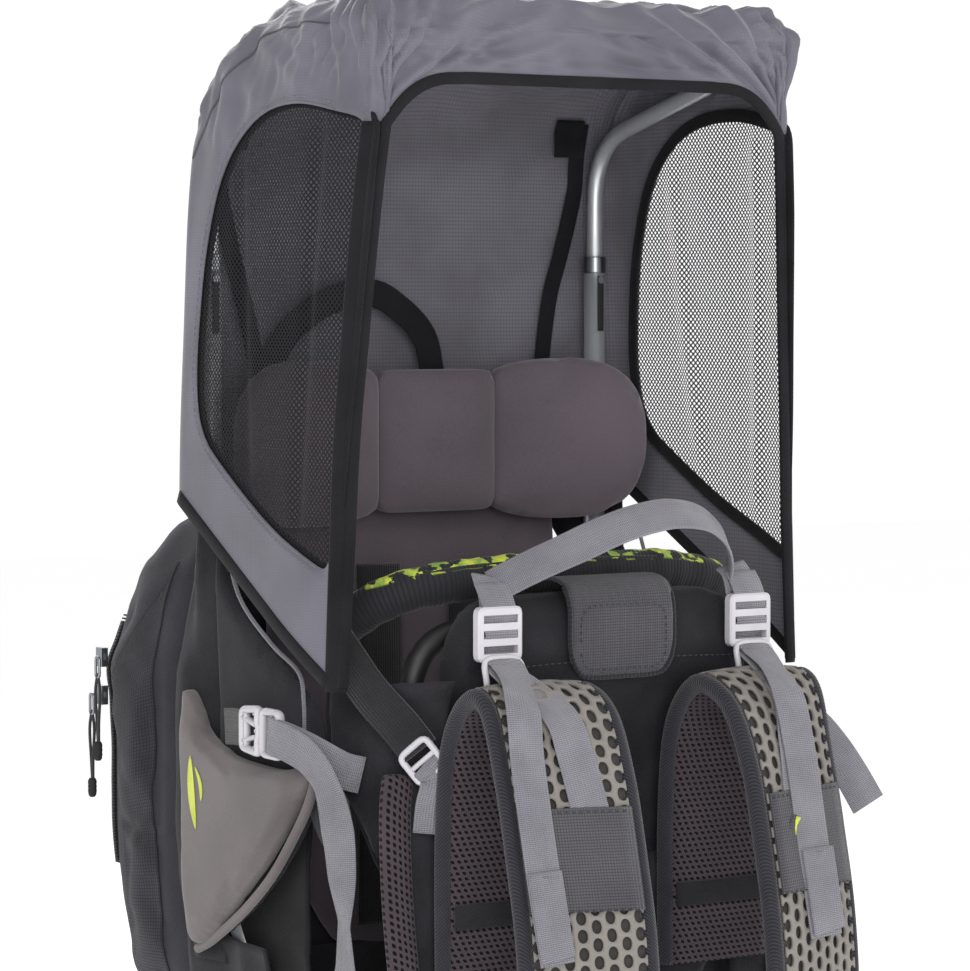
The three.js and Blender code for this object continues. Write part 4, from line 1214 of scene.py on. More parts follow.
def perforated(name, side, width, first, last, height, body):
    """Foam sheet with staggered oval holes, laid on the strap's outer face."""
    line, across, out = strap_frame(side)
    length = travelled(line[first:last])
    cell_u, cell_v = 9.6, 11.0
    hole_u, hole_v = 3.45, 4.4
    columns, rows = int(width / cell_u) + 1, int(length[-1] / cell_v)
    half_rim = [(-0.5, -0.5), (-0.17, -0.5), (0.17, -0.5), (0.5, -0.5), (0.5, -0.25), (0.5, 0), (0.5, 0.25)]
    rim = half_rim + [(-a, -b) for a, b in half_rim]
    verts, faces, keys = [], [], {}

    def vertex(u, v):
        u = max(-width / 2, min(width / 2, u))
        key = (round(u * 20), round(v * 20))
        if key not in keys:
            keys[key] = len(verts)
            i = min(int(np.searchsorted(length, v)), len(length) - 1)
            place = [np.interp(v, length, line[first:last, k]) for k in range(3)]
            crown = height - 2.2 * (u / (width / 2)) ** 2
            verts.append(np.array(place) + across[first + i] * u + out[first + i] * crown)
        return keys[key]

    for c in range(columns):
        for r in range(rows):
            u = (c - (columns - 1) / 2) * cell_u
            v = (r + 0.5 + 0.5 * (c % 2)) * cell_v
            outer = [vertex(u + a * cell_u, v + b * cell_v) for a, b in rim]
            angles = [math.atan2(b, a) for a, b in rim]
            inner = [vertex(u + hole_u * math.cos(t), v + hole_v * math.sin(t)) for t in angles]
            for k in range(len(rim)):
                after = (k + 1) % len(rim)
                ring = (outer[k], outer[after], inner[after], inner[k])
                if len(set(ring)) == 4:
                    faces.append(ring)
    obj = raw_object(name, verts, faces)
    faces_outward(obj)
    settle(thicken(obj, 2.4, 1), body, EVA)


def make_strap(label, side):
    """A shoulder strap's core, lining, bindings, perforated face, patches and bar; returns at(z)."""
    line, across, out = strap_frame(side)
    half = STRAP_WIDTH / 2
    count = len(line)
    body = "harness"
    angles = np.linspace(0, 2 * math.pi, 21)[:-1]
    core = [((half - 5) * math.copysign(abs(math.cos(t)) ** 0.5, math.cos(t)),
             5.2 * math.copysign(abs(math.sin(t)) ** 0.5, math.sin(t))) for t in angles]
    rings = [[line[i] + across[i] * a + out[i] * b for a, b in core] for i in range(count)]
    obj = raw_object(f"strap_core_{label}", rings, capped_faces(count, len(core)))
    settle(obj, body, FOAM_DARK, [f"shoulder_strap_{label}"])
    offsets = np.linspace(-half + 7, half - 7, 13)
    crown = -5.9 - 1.6 * (1 - (offsets / (half - 7)) ** 2)
    lining = strap_surface(side, offsets, crown, 0, count)
    lining += 0.35 * np.sin(np.arange(count) * 0.9)[:, None, None] * out[:, None]
    sheet(f"strap_lining_{label}", lining, body, MESH_LINING, 1.2)
    for word, edge in (("in", -1), ("out", 1)):
        path = line + across * (edge * (half - 5.0))
        swept(f"strap_binding_{label}_{word}", path, out, oval(5.6, 6.6, 14), body, TWILL, "black_cloth")
        seam = line + across * (edge * (half - 10.6)) + out * 6.3
        stitches(f"strap_stitches_{label}_{word}", seam, out, body)
    top = int(np.argmax(line[:, 2]))
    perforated(f"strap_foam_{label}", side, STRAP_WIDTH - 18, top - 2, count - 3, 7.2, body)
    heights = STRAP_LINE[:, 1]
    front = np.arange(count) > top

    def at(z):
        """The sample on the front run nearest to height z."""
        return int(np.argmin(np.where(front, np.abs(heights - z), 1e9)))

    for number, (high, low) in enumerate(((545, 478), (352, 300))):
        offsets = np.linspace(-half + 8, half - 8, 9)
        grid = strap_surface(side, offsets, 10.6 - 2.2 * (offsets / half) ** 2, at(high), at(low))
        sheet(f"strap_patch_{label}_{number}", grid, body, GRID, 1.4)
        for z in (high - 3, low + 4):
            row = at(z)
            ends = [line[row] + across[row] * a + out[row] * (11.7 - 2.2 * (a / half) ** 2)
                    for a in np.linspace(-half + 9, half - 9, 16)]
            stitches(f"patch_stitches_{label}_{number}_{z}", ends, out[row], body)
    rear = int(np.argmin(np.where(~front, np.abs(heights - 466), 1e9)))
    bar = [line[rear] + across[rear] * a - out[rear] * 9.6 for a in np.linspace(-half + 8, half - 8, 8)]
    ribbon(f"strap_bar_{label}", bar, -out[rear], 16, body, BLACK, "black_cloth", 2.0)
    return at


def make_lifters(label, side, at):
    """Load lifter: from the ladder lock to its seam on the strap, and the free tail in front."""
    line, across, out = strap_frame(side)
    low, _ = corners(f"ladder_lock_{label}")
    lock_x = side * 100

    def on_strap(z, a, lift):
        i = at(z)
        return line[i] + across[i] * a + out[i] * lift

    start = [(lock_x, -40, low[2] + 6), (lock_x, -46, low[2] - 2), (lock_x - side * 1, -56, low[2] - 8)]
    inward = -side * 6
    sewn = start + [on_strap(598, 0, 13), on_strap(575, inward, 12), on_strap(538, inward * 1.8, 9.8)]
    ups = [(0, -0.5, 1), (0, -1, 0.5), (0, -1, 0.5), out[at(598)], out[at(575)], out[at(538)]]
    webs = ribbon(f"lifter_{label}", sewn, ups, WEB_WIDTH, None)
    lean = -26 if side < 0 else -4
    tail = [(lock_x, -47, low[2] + 2), (lock_x, -58, low[2] - 5), on_strap(600, lean, 19),
            on_strap(572, lean - 2, 17), on_strap(530, lean - 2, 15), on_strap(490, lean - 1, 14),
            on_strap(452, lean + 2, 14)]
    ups = [(0, -0.6, 1), (0, -1, 0.5), (0, -1, 0.4), (0, -1, 0.2), (0, -1, 0.1), (0, -1, 0.1), (0, -1, 0.1)]
    loose = ribbon(f"lifter_tail_{label}", tail, ups, WEB_WIDTH, None)
    fold = [on_strap(453, lean + 2, 17.2), on_strap(462, lean + 1, 17), on_strap(505, lean - 1, 17.2)]
    doubled = ribbon(f"lifter_fold_{label}", fold, (0, -1, 0.1), WEB_WIDTH, None)
    i = at(503)
    bar = [line[i] + across[i] * (lean - 1 + a) + out[i] * 18.6 for a in (-10, -5, 0, 5, 10)]
    tack = stitches(f"lifter_stitches_{label}", bar, out[i], None, THREAD, 1.6, 0.5)
    for obj in (webs, loose, doubled, tack):
        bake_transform(obj)


def make_harness():
    for label, side in SIDES.items():
        at = make_strap(label, side)
        make_lifters(label, side, at)
    cad_pad("yoke_panel", "yoke", "harness", BLACK, 4.0, 0.5, 3.0)
    make_badge()
    for label, side in SIDES.items():
        low = ((88, -99, 296), (89, -94, 266), (96, -74, 232), (108, -44, 208), (118, -16, 196))
        ups = ((0, -1, -0.1), (0, -1, -0.3), (0.3, -0.8, -0.6), (0.5, -0.6, -0.8), (0.6, -0.5, -0.8))
        mirror = [side, 1, 1]
        web = ribbon(f"lower_webbing_{label}", np.array(low) * mirror, np.array(ups) * mirror, WEB_WIDTH, None)
        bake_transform(web)


def make_badge():
    """The plain round badge on the right strap, with a lime stroke."""
    line, across, out = strap_frame(1)
    i = int(np.argmin(np.abs(STRAP_LINE[:, 1] - 522) + 200 * (np.arange(len(STRAP_LINE)) < 80)))
    centre = line[i] + across[i] * -14 + out[i] * 9.4
    rings = []
    for radius, lift in ((0.4, 2.0), (3.4, 2.0), (6.4, 1.9), (9.0, 1.4), (9.8, 0.4), (9.8, -0.8)):
        rings.append([centre + across[i] * radius * math.cos(t) + np.array([0, 0, 1]) * radius * math.sin(t)
                      + out[i] * lift for t in np.linspace(0, 2 * math.pi, 33)[:-1]])
    faces = grid_faces(len(rings), 32, True) + [tuple(range(32))]
    settle(raw_object("round_badge", rings, faces), "harness", GRID)
    middle = centre + out[i] * 2.3
    stripe = [middle + across[i] * a + np.array([0, 0, b]) for a, b in ((-1, -7), (-2.5, 0), (-1, 7))]
    ribbon("badge_stripe", stripe, out[i], 5, "harness", LIME, "print_cloth", 0.8)


def make_sternum():
    for label, side in SIDES.items():
        low, high = corners(f"sternum_strap_{label}")
        z, y = (low[2] + high[2]) / 2, (low[1] + high[1]) / 2
        path = [(side * x, y + lift, z) for x, lift in ((17, 0), (40, -1), (75, 0), (100, 1), (117, 1.5))]
        ribbon(f"sternum_webbing_{label}", path, (0, -1, 0), 20, "sternum", None, "grey_webbing", 2.4,
               stands_for=[f"sternum_strap_{label}"])
        slider = even_loop(rounded_loop([(-6, -13), (6, -13), (6, 13), (-6, 13)], 3), 2)
        link_ring(f"sternum_slider_{label}", [(side * 62 + a, y - 2.4, z + b) for a, b in slider], "sternum",
                  PLASTIC_BLACK, 1.6, 8, "black_plastic")
    dress("sternum_buckle", PLASTIC_BLACK, 1.0)


make_frame()
make_ladder_locks()
make_side_buckles()
make_gusset_webbing()
make_harness()
make_sternum()


# ---------------------------------------------------------------- padded pieces
def cushion_source(name, place, half_u, half_v, thick, powers, rim_share):
    """A closed pillow; place(u, v, w) puts its millimetres in the frame. powers square off its two ends."""
    count = 24
    verts, faces = [], []
    side = count + 1
    for face in (1, -1):
        for i in range(side):
            for j in range(side):
                a, b = 2 * i / count - 1, 2 * j / count - 1
                power = powers[0] if a < 0 else powers[1]
                size = max(abs(a), abs(b))
                norm = (abs(a) ** power + abs(b) ** power) ** (1 / power) if size else 1
                rim = max(math.sqrt(1 - size**4), rim_share)
                verts.append(place(a * size / norm * half_u, b * size / norm * half_v, face * thick / 2 * rim))
    for i in range(count):
        for j in range(count):
            a = i * side + j
            b = a + side * side
            faces += [(a, a + side, a + side + 1, a + 1), (b, b + 1, b + side + 1, b + side)]
    rim = [(0, j) for j in range(count)] + [(i, count) for i in range(count)]
    rim += [(count, j) for j in range(count, 0, -1)] + [(i, 0) for i in range(count, 0, -1)]
    for (i0, j0), (i1, j1) in zip(rim, rim[1:] + rim[:1]):
        a, b = i0 * side + j0, i1 * side + j1
        faces.append((a, b, b + side * side, a + side * side))
    obj = raw_object(name, verts, faces)
    faces_outward(obj)
    return obj


HEADREST_Z = 768


def headrest_plan(s):
    """The headrest's middle line from above: (x, y, outward x, outward y) at a distance s from its centre."""
    straight, middle_y = 45, 203.5
    if abs(s) < straight:
        return s, middle_y, 0.0, -1.0
    side = 1 if s >= 0 else -1
    steps = np.linspace(straight, max(abs(s), straight + 0.01), 24)
    angles = math.radians(22) * np.clip((steps - straight) / 128, 0, 1) ** 1.2
    x = straight + np.sum(np.cos(angles[1:]) * np.diff(steps))
    y = middle_y - np.sum(np.sin(angles[1:]) * np.diff(steps))
    return side * x, y, -side * math.sin(angles[-1]), -math.cos(angles[-1])


def make_headrest():
    def on_plan(s, w, z):
        x, y, nx, ny = headrest_plan(s)
        return (x + nx * w, y + ny * w, z)

    def centre(u, v, w):
        return on_plan(u, w, HEADREST_Z + v)

    middle = cushion_source("headrest_centre_copy", centre, 50, 52, 31, (14, 14), 0.5)
    pad("headrest_centre", middle, "pack", SOFTSHELL, ["headrest"], 4.5, 1.0, 5)
    for label, side in SIDES.items():
        def wing(u, v, w):
            spread = 0.86 + 0.14 * math.sin(min(1.0, (u + 64) / 55) * math.pi / 2)
            return on_plan(side * (u + 110), w, HEADREST_Z + v * spread)

        source = cushion_source(f"headrest_wing_{label}_copy", wing, 64, 60, 35, (12, 2.5), 0.45)
        pad(f"headrest_wing_{label}", source, "pack", SOFTSHELL, [], 4.5, 1.0, 7)


def make_seat():
    def back_seams(mesh):
        for x in (-78, 78):
            groove(mesh, [(x, 220, 420), (x * 1.06, 218, 700)], 4.5, 3.0)
        for z in (600, 500):
            groove(mesh, [(-112, 220, z), (0, 217, z - 6), (112, 220, z)], 4.5, 2.6)
        crumple(mesh, 1.0, 46, 3)
        points = coordinates(mesh)
        points[:, 0] *= 1 - 0.09 * np.clip((points[:, 2] - 0.5) / 0.1, 0, 1)
        points[:, 2] += 0.022 * np.clip((points[:, 2] - 0.66) / 0.04, 0, 1)
        set_coordinates(mesh, points)

    cad_pad("seat_back_pad", "seat_back", "pack", SOFTSHELL, 5.5, 3.0, 6, back_seams)

    def seat_seams(mesh):
        for side in SIDES.values():
            groove(mesh, [(side * 40, 60, 356), (side * 52, 190, 356)], 5, 3)

    cad_pad("seat_cushion", "seat_pad", "seat", SOFTSHELL, 5.0, 2.5, 6, seat_seams)
    dress("harness_buckle", PLASTIC_BLACK, 1.2)
    dress("harness_button", PLASTIC_GREY, 0.8)
    for label, side in SIDES.items():
        low, high = corners(f"harness_strap_{label}")
        x = side * 38
        path = [(x, 216, low[2]), (x, 214, 480), (x, 214.5, 560), (x, 215, 620), (x, 217, high[2])]
        ribbon(f"child_strap_{label}", path, (0, -1, 0), 36, "pack", WEB_BLACK, "grey_webbing", 5,
               stands_for=[f"harness_strap_{label}"])


def make_back():
    """The back panel with its stitching and edge rolls, and the mesh pads on it."""
    def panel_seam(y, z, reach, count):
        xs = np.linspace(-reach, reach, count)
        return [(x, y + 7 * (abs(x) / 120) ** 3, z - 4 * (x / 120) ** 2) for x in xs]

    def seams(mesh):
        groove(mesh, panel_seam(-33, 628, 122, 30), 4.0, 2.4)
        crumple(mesh, 1.6, 55, 11)
        crumple(mesh, 0.7, 21, 5)

    cad_pad("back_panel_cloth", "back_panel", "pack", BLACK, 5.5, 2.0, 4, seams)
    stitches("panel_stitches", panel_seam(-35.2, 631, 108, 60), (0, -1, 0.2), "pack")

    def channels(z_values, x_reach, y):
        def shape(mesh):
            for z in z_values:
                groove(mesh, [(-x_reach, y, z), (x_reach, y, z)], 4, 3)
            groove(mesh, [(0, y, z_values[0] - 90), (0, y, z_values[-1] + 90)], 5, 3)
        return shape

    cad_pad("back_pad_mesh", "back_pad", "pack", MESH_BROWN, 4.5, 1.5, 5, channels([284], 80, -27))
    cad_pad("lumbar_pad_mesh", "lumbar_pad", "pack", MESH_BROWN, 5.0, 2.0, 6,
            channels([178, 214], 78, -47))
    roll_line = ((148, 4, 560), (154, -2, 532), (154, -5, 480), (151, -8, 430), (146, -10, 380),
                 (139, -13, 320), (130, -16, 262))
    for label, side in SIDES.items():
        roll = spline([(side * x, y, z) for x, y, z in roll_line], 6)
        swept(f"panel_edge_{label}", roll, unit([side * 0.5, -1, 0]), oval(10.5, 6.3, 24), "pack", MESH_LINING,
              "air_mesh", levels=1)
        web = [[p * (1 - t) + np.array([side * 106, -15, p[2]]) * t for t in np.linspace(0, 1, 8)]
               for p in roll]
        sheet(f"panel_web_{label}", web, "pack", BLACK, 1.6)


def make_flap():
    """Grid ripstop flap in the middle of the panel's top, stitched round, with its top over the edge."""
    half = 41
    path = ((4, 683), (-14, 684.5), (-31, 681), (-38.5, 668), (-39.5, 645), (-38.5, 621))
    path = spline([(0, y, z) for y, z in path], 3)
    rows = []
    for t in np.linspace(0, 1, 26):
        _, y, z = path[int(t * (len(path) - 1))]
        width = half if z < 676 or y < -30 else half + (-y - 31) * -0.35
        rows.append([(x * width, y + 1.2 * abs(x) ** 3, z) for x in np.linspace(-1, 1, 21)])
    rows = np.array(rows)
    inset = np.maximum(0.0, 1 - (rows[:, :, 2] - rows[:, :, 2].min()) / 13)
    limit = half - 12 * inset**2
    rows[:, :, 0] = np.clip(rows[:, :, 0], -limit, limit)
    sheet("flap_cloth", rows, "pack", GRID, 2.2, ["panel_flap"])
    outline = even_loop(rounded_loop([(-34, 625), (34, 625), (34, 668), (-34, 668)], 13), 2.5)
    seam = [(x, -41.1 + 1.2 * abs(x / half) ** 3, z) for x, z in outline]
    stitches("flap_stitches", seam, (0, -1, 0), "pack")
    edge = [(-41, -30, 680), (-41, -37.5, 668), (-41, -38.6, 640), (-36, -39, 626), (-27, -39, 620.5)]
    edge = spline(mirrored(edge, (0, -39, 620)), 3)
    tube("flap_edge", edge, 1.7, "pack", BLACK_GRID, "grid_cloth", sides=10)


def make_bumper():
    """The padded roll the child leans on, with a printed top and two lines of piping."""
    line = spline(mirrored([(-150, 96, 640), (-136, 52, 668), (-92, 34, 681)], (0, 31, 684)), 4)
    count, sides = len(line), 26
    rings = sweep_rings(line, (0, -0.5, 1.0), oval(13.2, 14.784, sides))
    rings = scaled_rings(line, rings, 1 + 0.03 * np.cos(np.arange(count) * 1.35))
    uvs = [(c * 3.3, r * 4.0) for r in range(count) for c in range(sides)]
    obj = raw_object("bumper_cloth", rings, capped_faces(count, sides), uvs)
    crumple(obj.data, 1.6, 30, 8)
    subdivide(obj)
    settle(obj, "pack", PRINT, ["front_bumper"])
    for number, fore in enumerate((-9.5, 9.0)):
        piping = line + np.array([0, fore, 9.5])
        tube(f"bumper_piping_{number}", piping[2:-2], 1.5, "pack", BLACK_GRID, "print_cloth", sides=10)


def make_sides():
    """The side wings, the stretch pockets, their piping and the plain lime strokes on the pockets."""
    for label, side in SIDES.items():
        def wing_shape(mesh):
            crumple(mesh, 1.8, 60, 2 + side)

        def pocket_shape(mesh):
            crumple(mesh, 2.2, 70, 6 + side)

        cad_pad(f"side_wing_cloth_{label}", f"side_wing_{label}", "pack", BLACK,
                4.0, 0.3, 3, wing_shape)
        pocket = cad_pad(f"side_pocket_cloth_{label}", f"side_pocket_{label}", "pack", TAUPE,
                         4.5, 1.5, 7, pocket_shape)
        edge = ((84, 574), (85, 600), (92, 620), (130, 636), (174, 663), (196, 700))
        edge = spline([(side * 173, y, z) for y, z in edge], 3)
        tube(f"wing_piping_{label}", edge, 1.5, "pack", WEB_GREY, "grey_webbing", sides=10)
        edge = ((56, 560), (70, 534), (90, 510), (122, 478), (162, 449), (207, 423), (230, 413))
        edge = spline([(side * 178, y, z) for y, z in edge], 4)
        tube(f"pocket_piping_{label}", edge, 3.4, "pack", TAUPE, "taupe_cloth", sides=12)
        for number, (start, bow, size) in enumerate((((214, 552), 3, 1.0), ((207, 545), -3, 0.45))):
            mark = []
            for t in np.linspace(0, 1, 18):
                width = 4.6 * size * math.sin(math.pi * t) ** 0.7 + 0.1
                y, z = start[0] - 9 * t + bow * math.sin(math.pi * t), start[1] - 50 * t * size
                mark.append([(side * 186, y + w * width, z) for w in np.linspace(-1, 1, 6)])
            flat = grid_laid_on(pocket, mark, (-side, 0, 0), 0.7)
            sheet(f"pocket_mark_{label}_{number}", flat, "pack", LIME, 0.6)


# The rear bag's half width at several heights.
BAG_HALF = np.array([(310, 120), (340, 150), (375, 163), (425, 170), (490, 176), (606, 176), (640, 169),
                     (678, 158), (708, 138), (728, 112)])


def make_gussets():
    """Black cloth from the back panel to each side wing, from the wing to the bag, and round the seat; a darker
    sheet inside the seat is painted shade.
    """
    for label, side in SIDES.items():
        def black_sheet(name, rows, thickness, material=BLACK):
            sheet(f"{name}_{label}", rows, "pack", material, thickness)

        rows = []
        for t in np.linspace(0, 1, 40):
            z = 652 - 234 * t
            front = np.array([121, -6 - 20 * max(0, 1 - t * 2.2), z - 30 * max(0, 1 - t * 6)])
            rear = np.array([164, 66 - 8 * t, z - 30 * (1 - t) - 8])
            below = max(0, 556 - rear[2])
            if below:
                rear[:2] = max(164 - below * 0.3, 128), max(58 - below * 0.5, 4)
            row = []
            for s in np.linspace(0, 1, 20):
                bulge = 7 * math.sin(math.pi * s) + 3.5 * ridge(s * 2.2, t * 4, side)
                p = front + (rear - front) * s + np.array([0.8, -0.6, 0]) * bulge
                row.append(p * [side, 1, 1])
            rows.append(row)
        black_sheet("gusset", rows, 2.0)
        edge = spline([row[-1] for row in rows[::2]], 4)
        tube(f"gusset_edge_{label}", edge, 2.2, "pack", BINDING, "black_cloth", sides=10)
        rows = []
        for z in np.linspace(405, 730, 40):
            half = np.interp(z, BAG_HALF[:, 0], BAG_HALF[:, 1])
            crease = 1.5 * ridge(z / 60, 0.3, side)
            knots = np.array([(166, 208), (171, 224), (173.5, 238), (max(half, 150) + 0.5, 254),
                              (half - 2, 268)])
            row = spline(np.column_stack([knots[:, 0] + crease, knots[:, 1], np.full(5, z)]), 3)
            rows.append(row[np.linspace(0, len(row) - 1, 20).astype(int)] * [side, 1, 1])
        black_sheet("side_join", rows, 1.8)
        rows = []
        for y in np.linspace(56, 226, 30):
            rise = 14 + 110 * ((y - 56) / 170) ** 2
            shift = 88 + 0.08 * (y - 56)
            rows.append([(side * (shift + 46 * s), y, 338 + rise * s**1.4 + 2 * ridge(s, y / 40, side))
                         for s in np.linspace(0, 1, 16)])
        black_sheet("seat_bolster", rows, 3.0)
        loop = rounded_loop([(60, 557), (36, 538), (40, 495), (63, 503), (82, 522), (95, 543), (80, 560)], 14)
        centre = loop.mean(0)
        rows = []
        for size in np.linspace(0.04, 1, 10):
            ring = centre + (np.vstack([loop, loop[:1]]) - centre) * size
            rows.append([(side * (168 + 3 * (1 - size**2) - 0.12 * max(0, 60 - y)), y, z) for y, z in ring])
        black_sheet("side_lobe", rows, 2.4)
        tube(f"side_lobe_edge_{label}", np.array(rows[-1])[::2], 1.2, "pack", GRID, "grid_cloth", sides=8)
        # Painted shade: a sheet in the darkest black inside each side of the seat, standing for the shadow
        # there.
        rows = [[(side * (157 + 2 * ridge(y / 50, z / 70, 3 * side)), y, z) for y in np.linspace(104, 228, 22)]
                for z in np.linspace(374, 604, 30)]
        black_sheet("painted_shade_lining", rows, 1.6, BINDING)
        rows = [[(side * (160 + 8 * ((z - 306) / 120) + 2 * ridge(y / 45, z / 60, side)), y, z)
                 for y in np.linspace(146, 262, 24)] for z in np.linspace(306, 424, 24)]
        black_sheet("lower_side", rows, 2.0)
    rows = [[(x, 205 + 20 * t, 346 + 60 * t + 1.5 * ridge(x / 50, t, 4)) for x in np.linspace(-96, 96, 30)]
            for t in np.linspace(0, 1, 12)]
    sheet("seat_rear_lining", rows, "pack", BLACK, 2.0)


# ---------------------------------------------------------------- bags, zip, hip belt and handle
def make_bags():
    """The rear bag with its ripstop sides, zip, piping, pocket zip and gear loops, and the lower bag."""
    def rear_shape(mesh):
        for side in (-1, 1):
            front_seam = [(side * 178, 300, z) for z in range(330, 640, 20)] + [(side * 150, 300, 708)]
            groove(mesh, front_seam, 4.5, 5.0)
            groove(mesh, [(side * 152, 394, z) for z in range(350, 700, 20)], 4.5, 3.0)
        groove(mesh, [(x, 406, 600) for x in range(-130, 140, 15)], 4.5, 3.5)
        groove(mesh, [(x, 404, 420) for x in range(-130, 140, 15)], 4.5, 3.5)
        crumple(mesh, 3.2, 90, 1)
        crumple(mesh, 1.2, 28, 4)

    bag = cad_pad("rear_bag_cloth", "rear_bag", "pack", BAG_CLOTH, 6.5, 0.5, 5, rear_shape)
    for label, side in SIDES.items():
        rows = []
        for t in np.linspace(0, 1, 90):
            z = 352 + 300 * t
            reach = 366 - 50 * max(0, (z - 590) / 62)
            rows.append([(side * 180, 307 + (reach - 307) * s, z + 28 * (1 - s) * t)
                         for s in np.linspace(0, 1, 22)])
        flat = grid_laid_on(bag, rows, (-side, 0, 0), 0.8)
        sheet(f"bag_grid_{label}", flat, "pack", BAG_GRID, 0.8)
    make_zip(bag)

    def on_back(points, lift):
        """(x, z) points laid on the bag's rear face."""
        return laid_on(bag, [(x, 420, z) for x, z in points], (0, -1, 0), lift)

    outline = even_loop(rounded_loop([(-128, 346), (128, 346), (128, 664), (-128, 664)], 60), 6)
    swept("bag_piping", on_back(outline, 0.6), (0, 1, 0), oval(1.8, 1.8, 10), "pack", BINDING, "black_cloth",
          closed=True)
    line = on_back([(x, 596 - (x / 60) ** 2) for x in np.linspace(-104, 104, 60)], 0.5)
    ribbon("pocket_zip_tape", line[::4], (0, 1, 0), 12, "pack", BINDING, "black_cloth", 1.0)
    stitches("pocket_zip_teeth", line + [0, 1.0, 0], (0, 1, 0), "pack", RUBBER, 1.4, 0.9, 0.8)
    for label, side in SIDES.items():
        for low, high in ((392, 430), (470, 508)):
            loop = on_back([(side * 62, z) for z in np.linspace(low, high, 8)], 2.2)
            ribbon(f"gear_loop_{label}_{low}", loop, (0, 1, 0), 22, "pack", WEB_BLACK, "black_cloth", 1.8)

    def lower_shape(mesh):
        groove(mesh, [(x, 246, 190) for x in range(-90, 100, 15)], 4.5, 3.0)
        crumple(mesh, 3.4, 70, 9)
        crumple(mesh, 1.2, 24, 2)

    cad_pad("lower_bag_cloth", "lower_bag", "pack", BAG_CLOTH, 7.0, 4.5, 7, lower_shape)


def make_zip(bag):
    """The zip's tape and teeth beside the bag's rear edge, and its pulls."""
    zip_y = 383
    path = laid_on(bag, [(-176, zip_y, z) for z in np.linspace(452, 640, 60)], (1, 0, 0), 0.6)
    ribbon("zip_tape", path[::4], (-1, 0, 0), 12, "pack", BINDING, "black_cloth", 1.0)
    parts = []
    for z in np.arange(456, 637, 2.4):
        x = np.interp(z, path[:, 2], path[:, 0]) - 1.6
        bead = bent([(x, zip_y - 2.2, z), (x, zip_y + 2.2, z)], 1)
        parts.append(tube(f"tooth_{z:.0f}", bead, 0.75, None, PLASTIC_BLACK, "black_plastic", sides=6))
    teeth = merged("zip_teeth", parts)
    box_uv(teeth.data)
    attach(teeth, "pack")
    for name in ("top", "low"):
        make_pull(name)


def make_pull(name):
    """A zip pull: a metal ring, two cords and a moulded grip."""
    body = f"pull_{name}"
    low, high = corners(f"zip_pull_{name}")
    x, y = (low[0] + high[0]) / 2, (low[1] + high[1]) / 2
    eye, foot = high[2] - 6, low[2]
    metal = even_loop(rounded_loop([(-3, -11), (3, -11), (3, 4), (-3, 4)], 2.6), 1.5)
    link_ring(f"pull_ring_{name}", [(x, y + a, eye + b) for a, b in metal], body, STEEL, 1.1, 8, "steel_pin")
    for number, way in enumerate((1, -1)):
        cord = [(x, y, eye - 8), (x - 0.6 * way, y + 2.6 * way, eye - 22), (x, y + 1.6 * way, eye - 44),
                (x + 0.4, y + 0.4 * way, foot + 10)]
        tube(f"pull_cord_{name}_{number}", spline(cord, 3), 1.2, body, THREAD_DARK, "foot_rubber", sides=8)
    size = [0.7, 1, 1.1, 1, 1.1, 1, 1.1, 1, 0.95, 0.6]
    tip = np.array([(x, y, z) for z in np.linspace(foot + 14, foot, len(size))])
    rings = scaled_rings(tip, sweep_rings(tip, transported(tip), oval(3.1, 3.1, 14)), size)
    grip = raw_object(f"pull_grip_{name}", rings, capped_faces(len(size), 14))
    settle(grip, body, RUBBER, [f"zip_pull_{name}"])


def make_hip_belt():
    """The padded hip wings with their webbing and sliders."""
    z = 196
    for label, side in SIDES.items():
        body = f"hip_belt_{WORD[label]}"

        def seams(mesh):
            for level_z in (z - 22, z + 22):
                seam = ((116, -58), (142, -74), (162, -114), (172, -168))
                groove(mesh, [(side * x, y, level_z) for x, y in seam], 4, 2.4)

        cad_pad(f"hip_pad_{label}", f"hip_wing_{label}", body, MESH_BROWN, 4.5, 1.2, 4, seams)
        path = ((172, -160), (172, -178), (168, -200), (157, -226), (138, -245), (118, -259))
        ribbon(f"hip_webbing_strap_{label}", [(side * x, y, z) for x, y in path],
               [(side, 0.1, 0)] * 3 + [(side, -0.8, 0)] * 3, 37, body, WEB_GREY, "grey_webbing", 2.4,
               stands_for=[f"hip_webbing_{label}"])
        ring = even_loop(rounded_loop([(-5, -22), (5, -22), (5, 22), (-5, 22)], 3), 2.4)
        ring = [(side * (162 + a * 0.4), -214 + a, z + b) for a, b in ring]
        link_ring(f"hip_slider_{label}", ring, body, PLASTIC_BLACK, 2.0, 8, "black_plastic")


def make_handle():
    """Haul handle: grey webbing sewn at both roots, half twisted as it rises."""
    path = [(-95, -27, 682), (-84, -34, 689), (-68, -43, 698), (-46, -51, 708), (-22, -56, 718),
            (2, -59, 725), (26, -60, 728), (52, -57, 724), (74, -48, 712), (88, -37, 698), (95, -28, 685)]
    ups = [(-0.3, -0.9, 0.8), (-0.3, -0.9, 0.8), (-0.25, -0.9, 0.8), (-0.2, -1, 0.8), (-0.1, -1, 0.9),
           (0, -1, 0.9), (0.1, -1, 0.9), (0.2, -0.9, 0.9), (0.5, -0.8, 0.8), (0.7, -0.8, 0.6), (0.7, -0.8, 0.4)]
    web = ribbon("handle_webbing", path, ups, WEB_WIDTH, None, thick=2.2, stands_for=["haul_handle"])
    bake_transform(web)
    for label, side in SIDES.items():
        root = [(side * 97, -25, 689), (side * 98, -30, 685), (side * 98, -35, 678), (side * 98, -38, 667)]
        ribbon(f"handle_root_{label}", root, (0, -1, 0.4), WEB_WIDTH, "pack", thick=2.0)
        tack = [(side * 97 + a, -39.6, 672) for a in (-10, -5, 0, 5, 10)]
        stitches(f"handle_tack_{label}", tack, (0, -1, 0.2), "pack", stitch=2, gap=0.8)


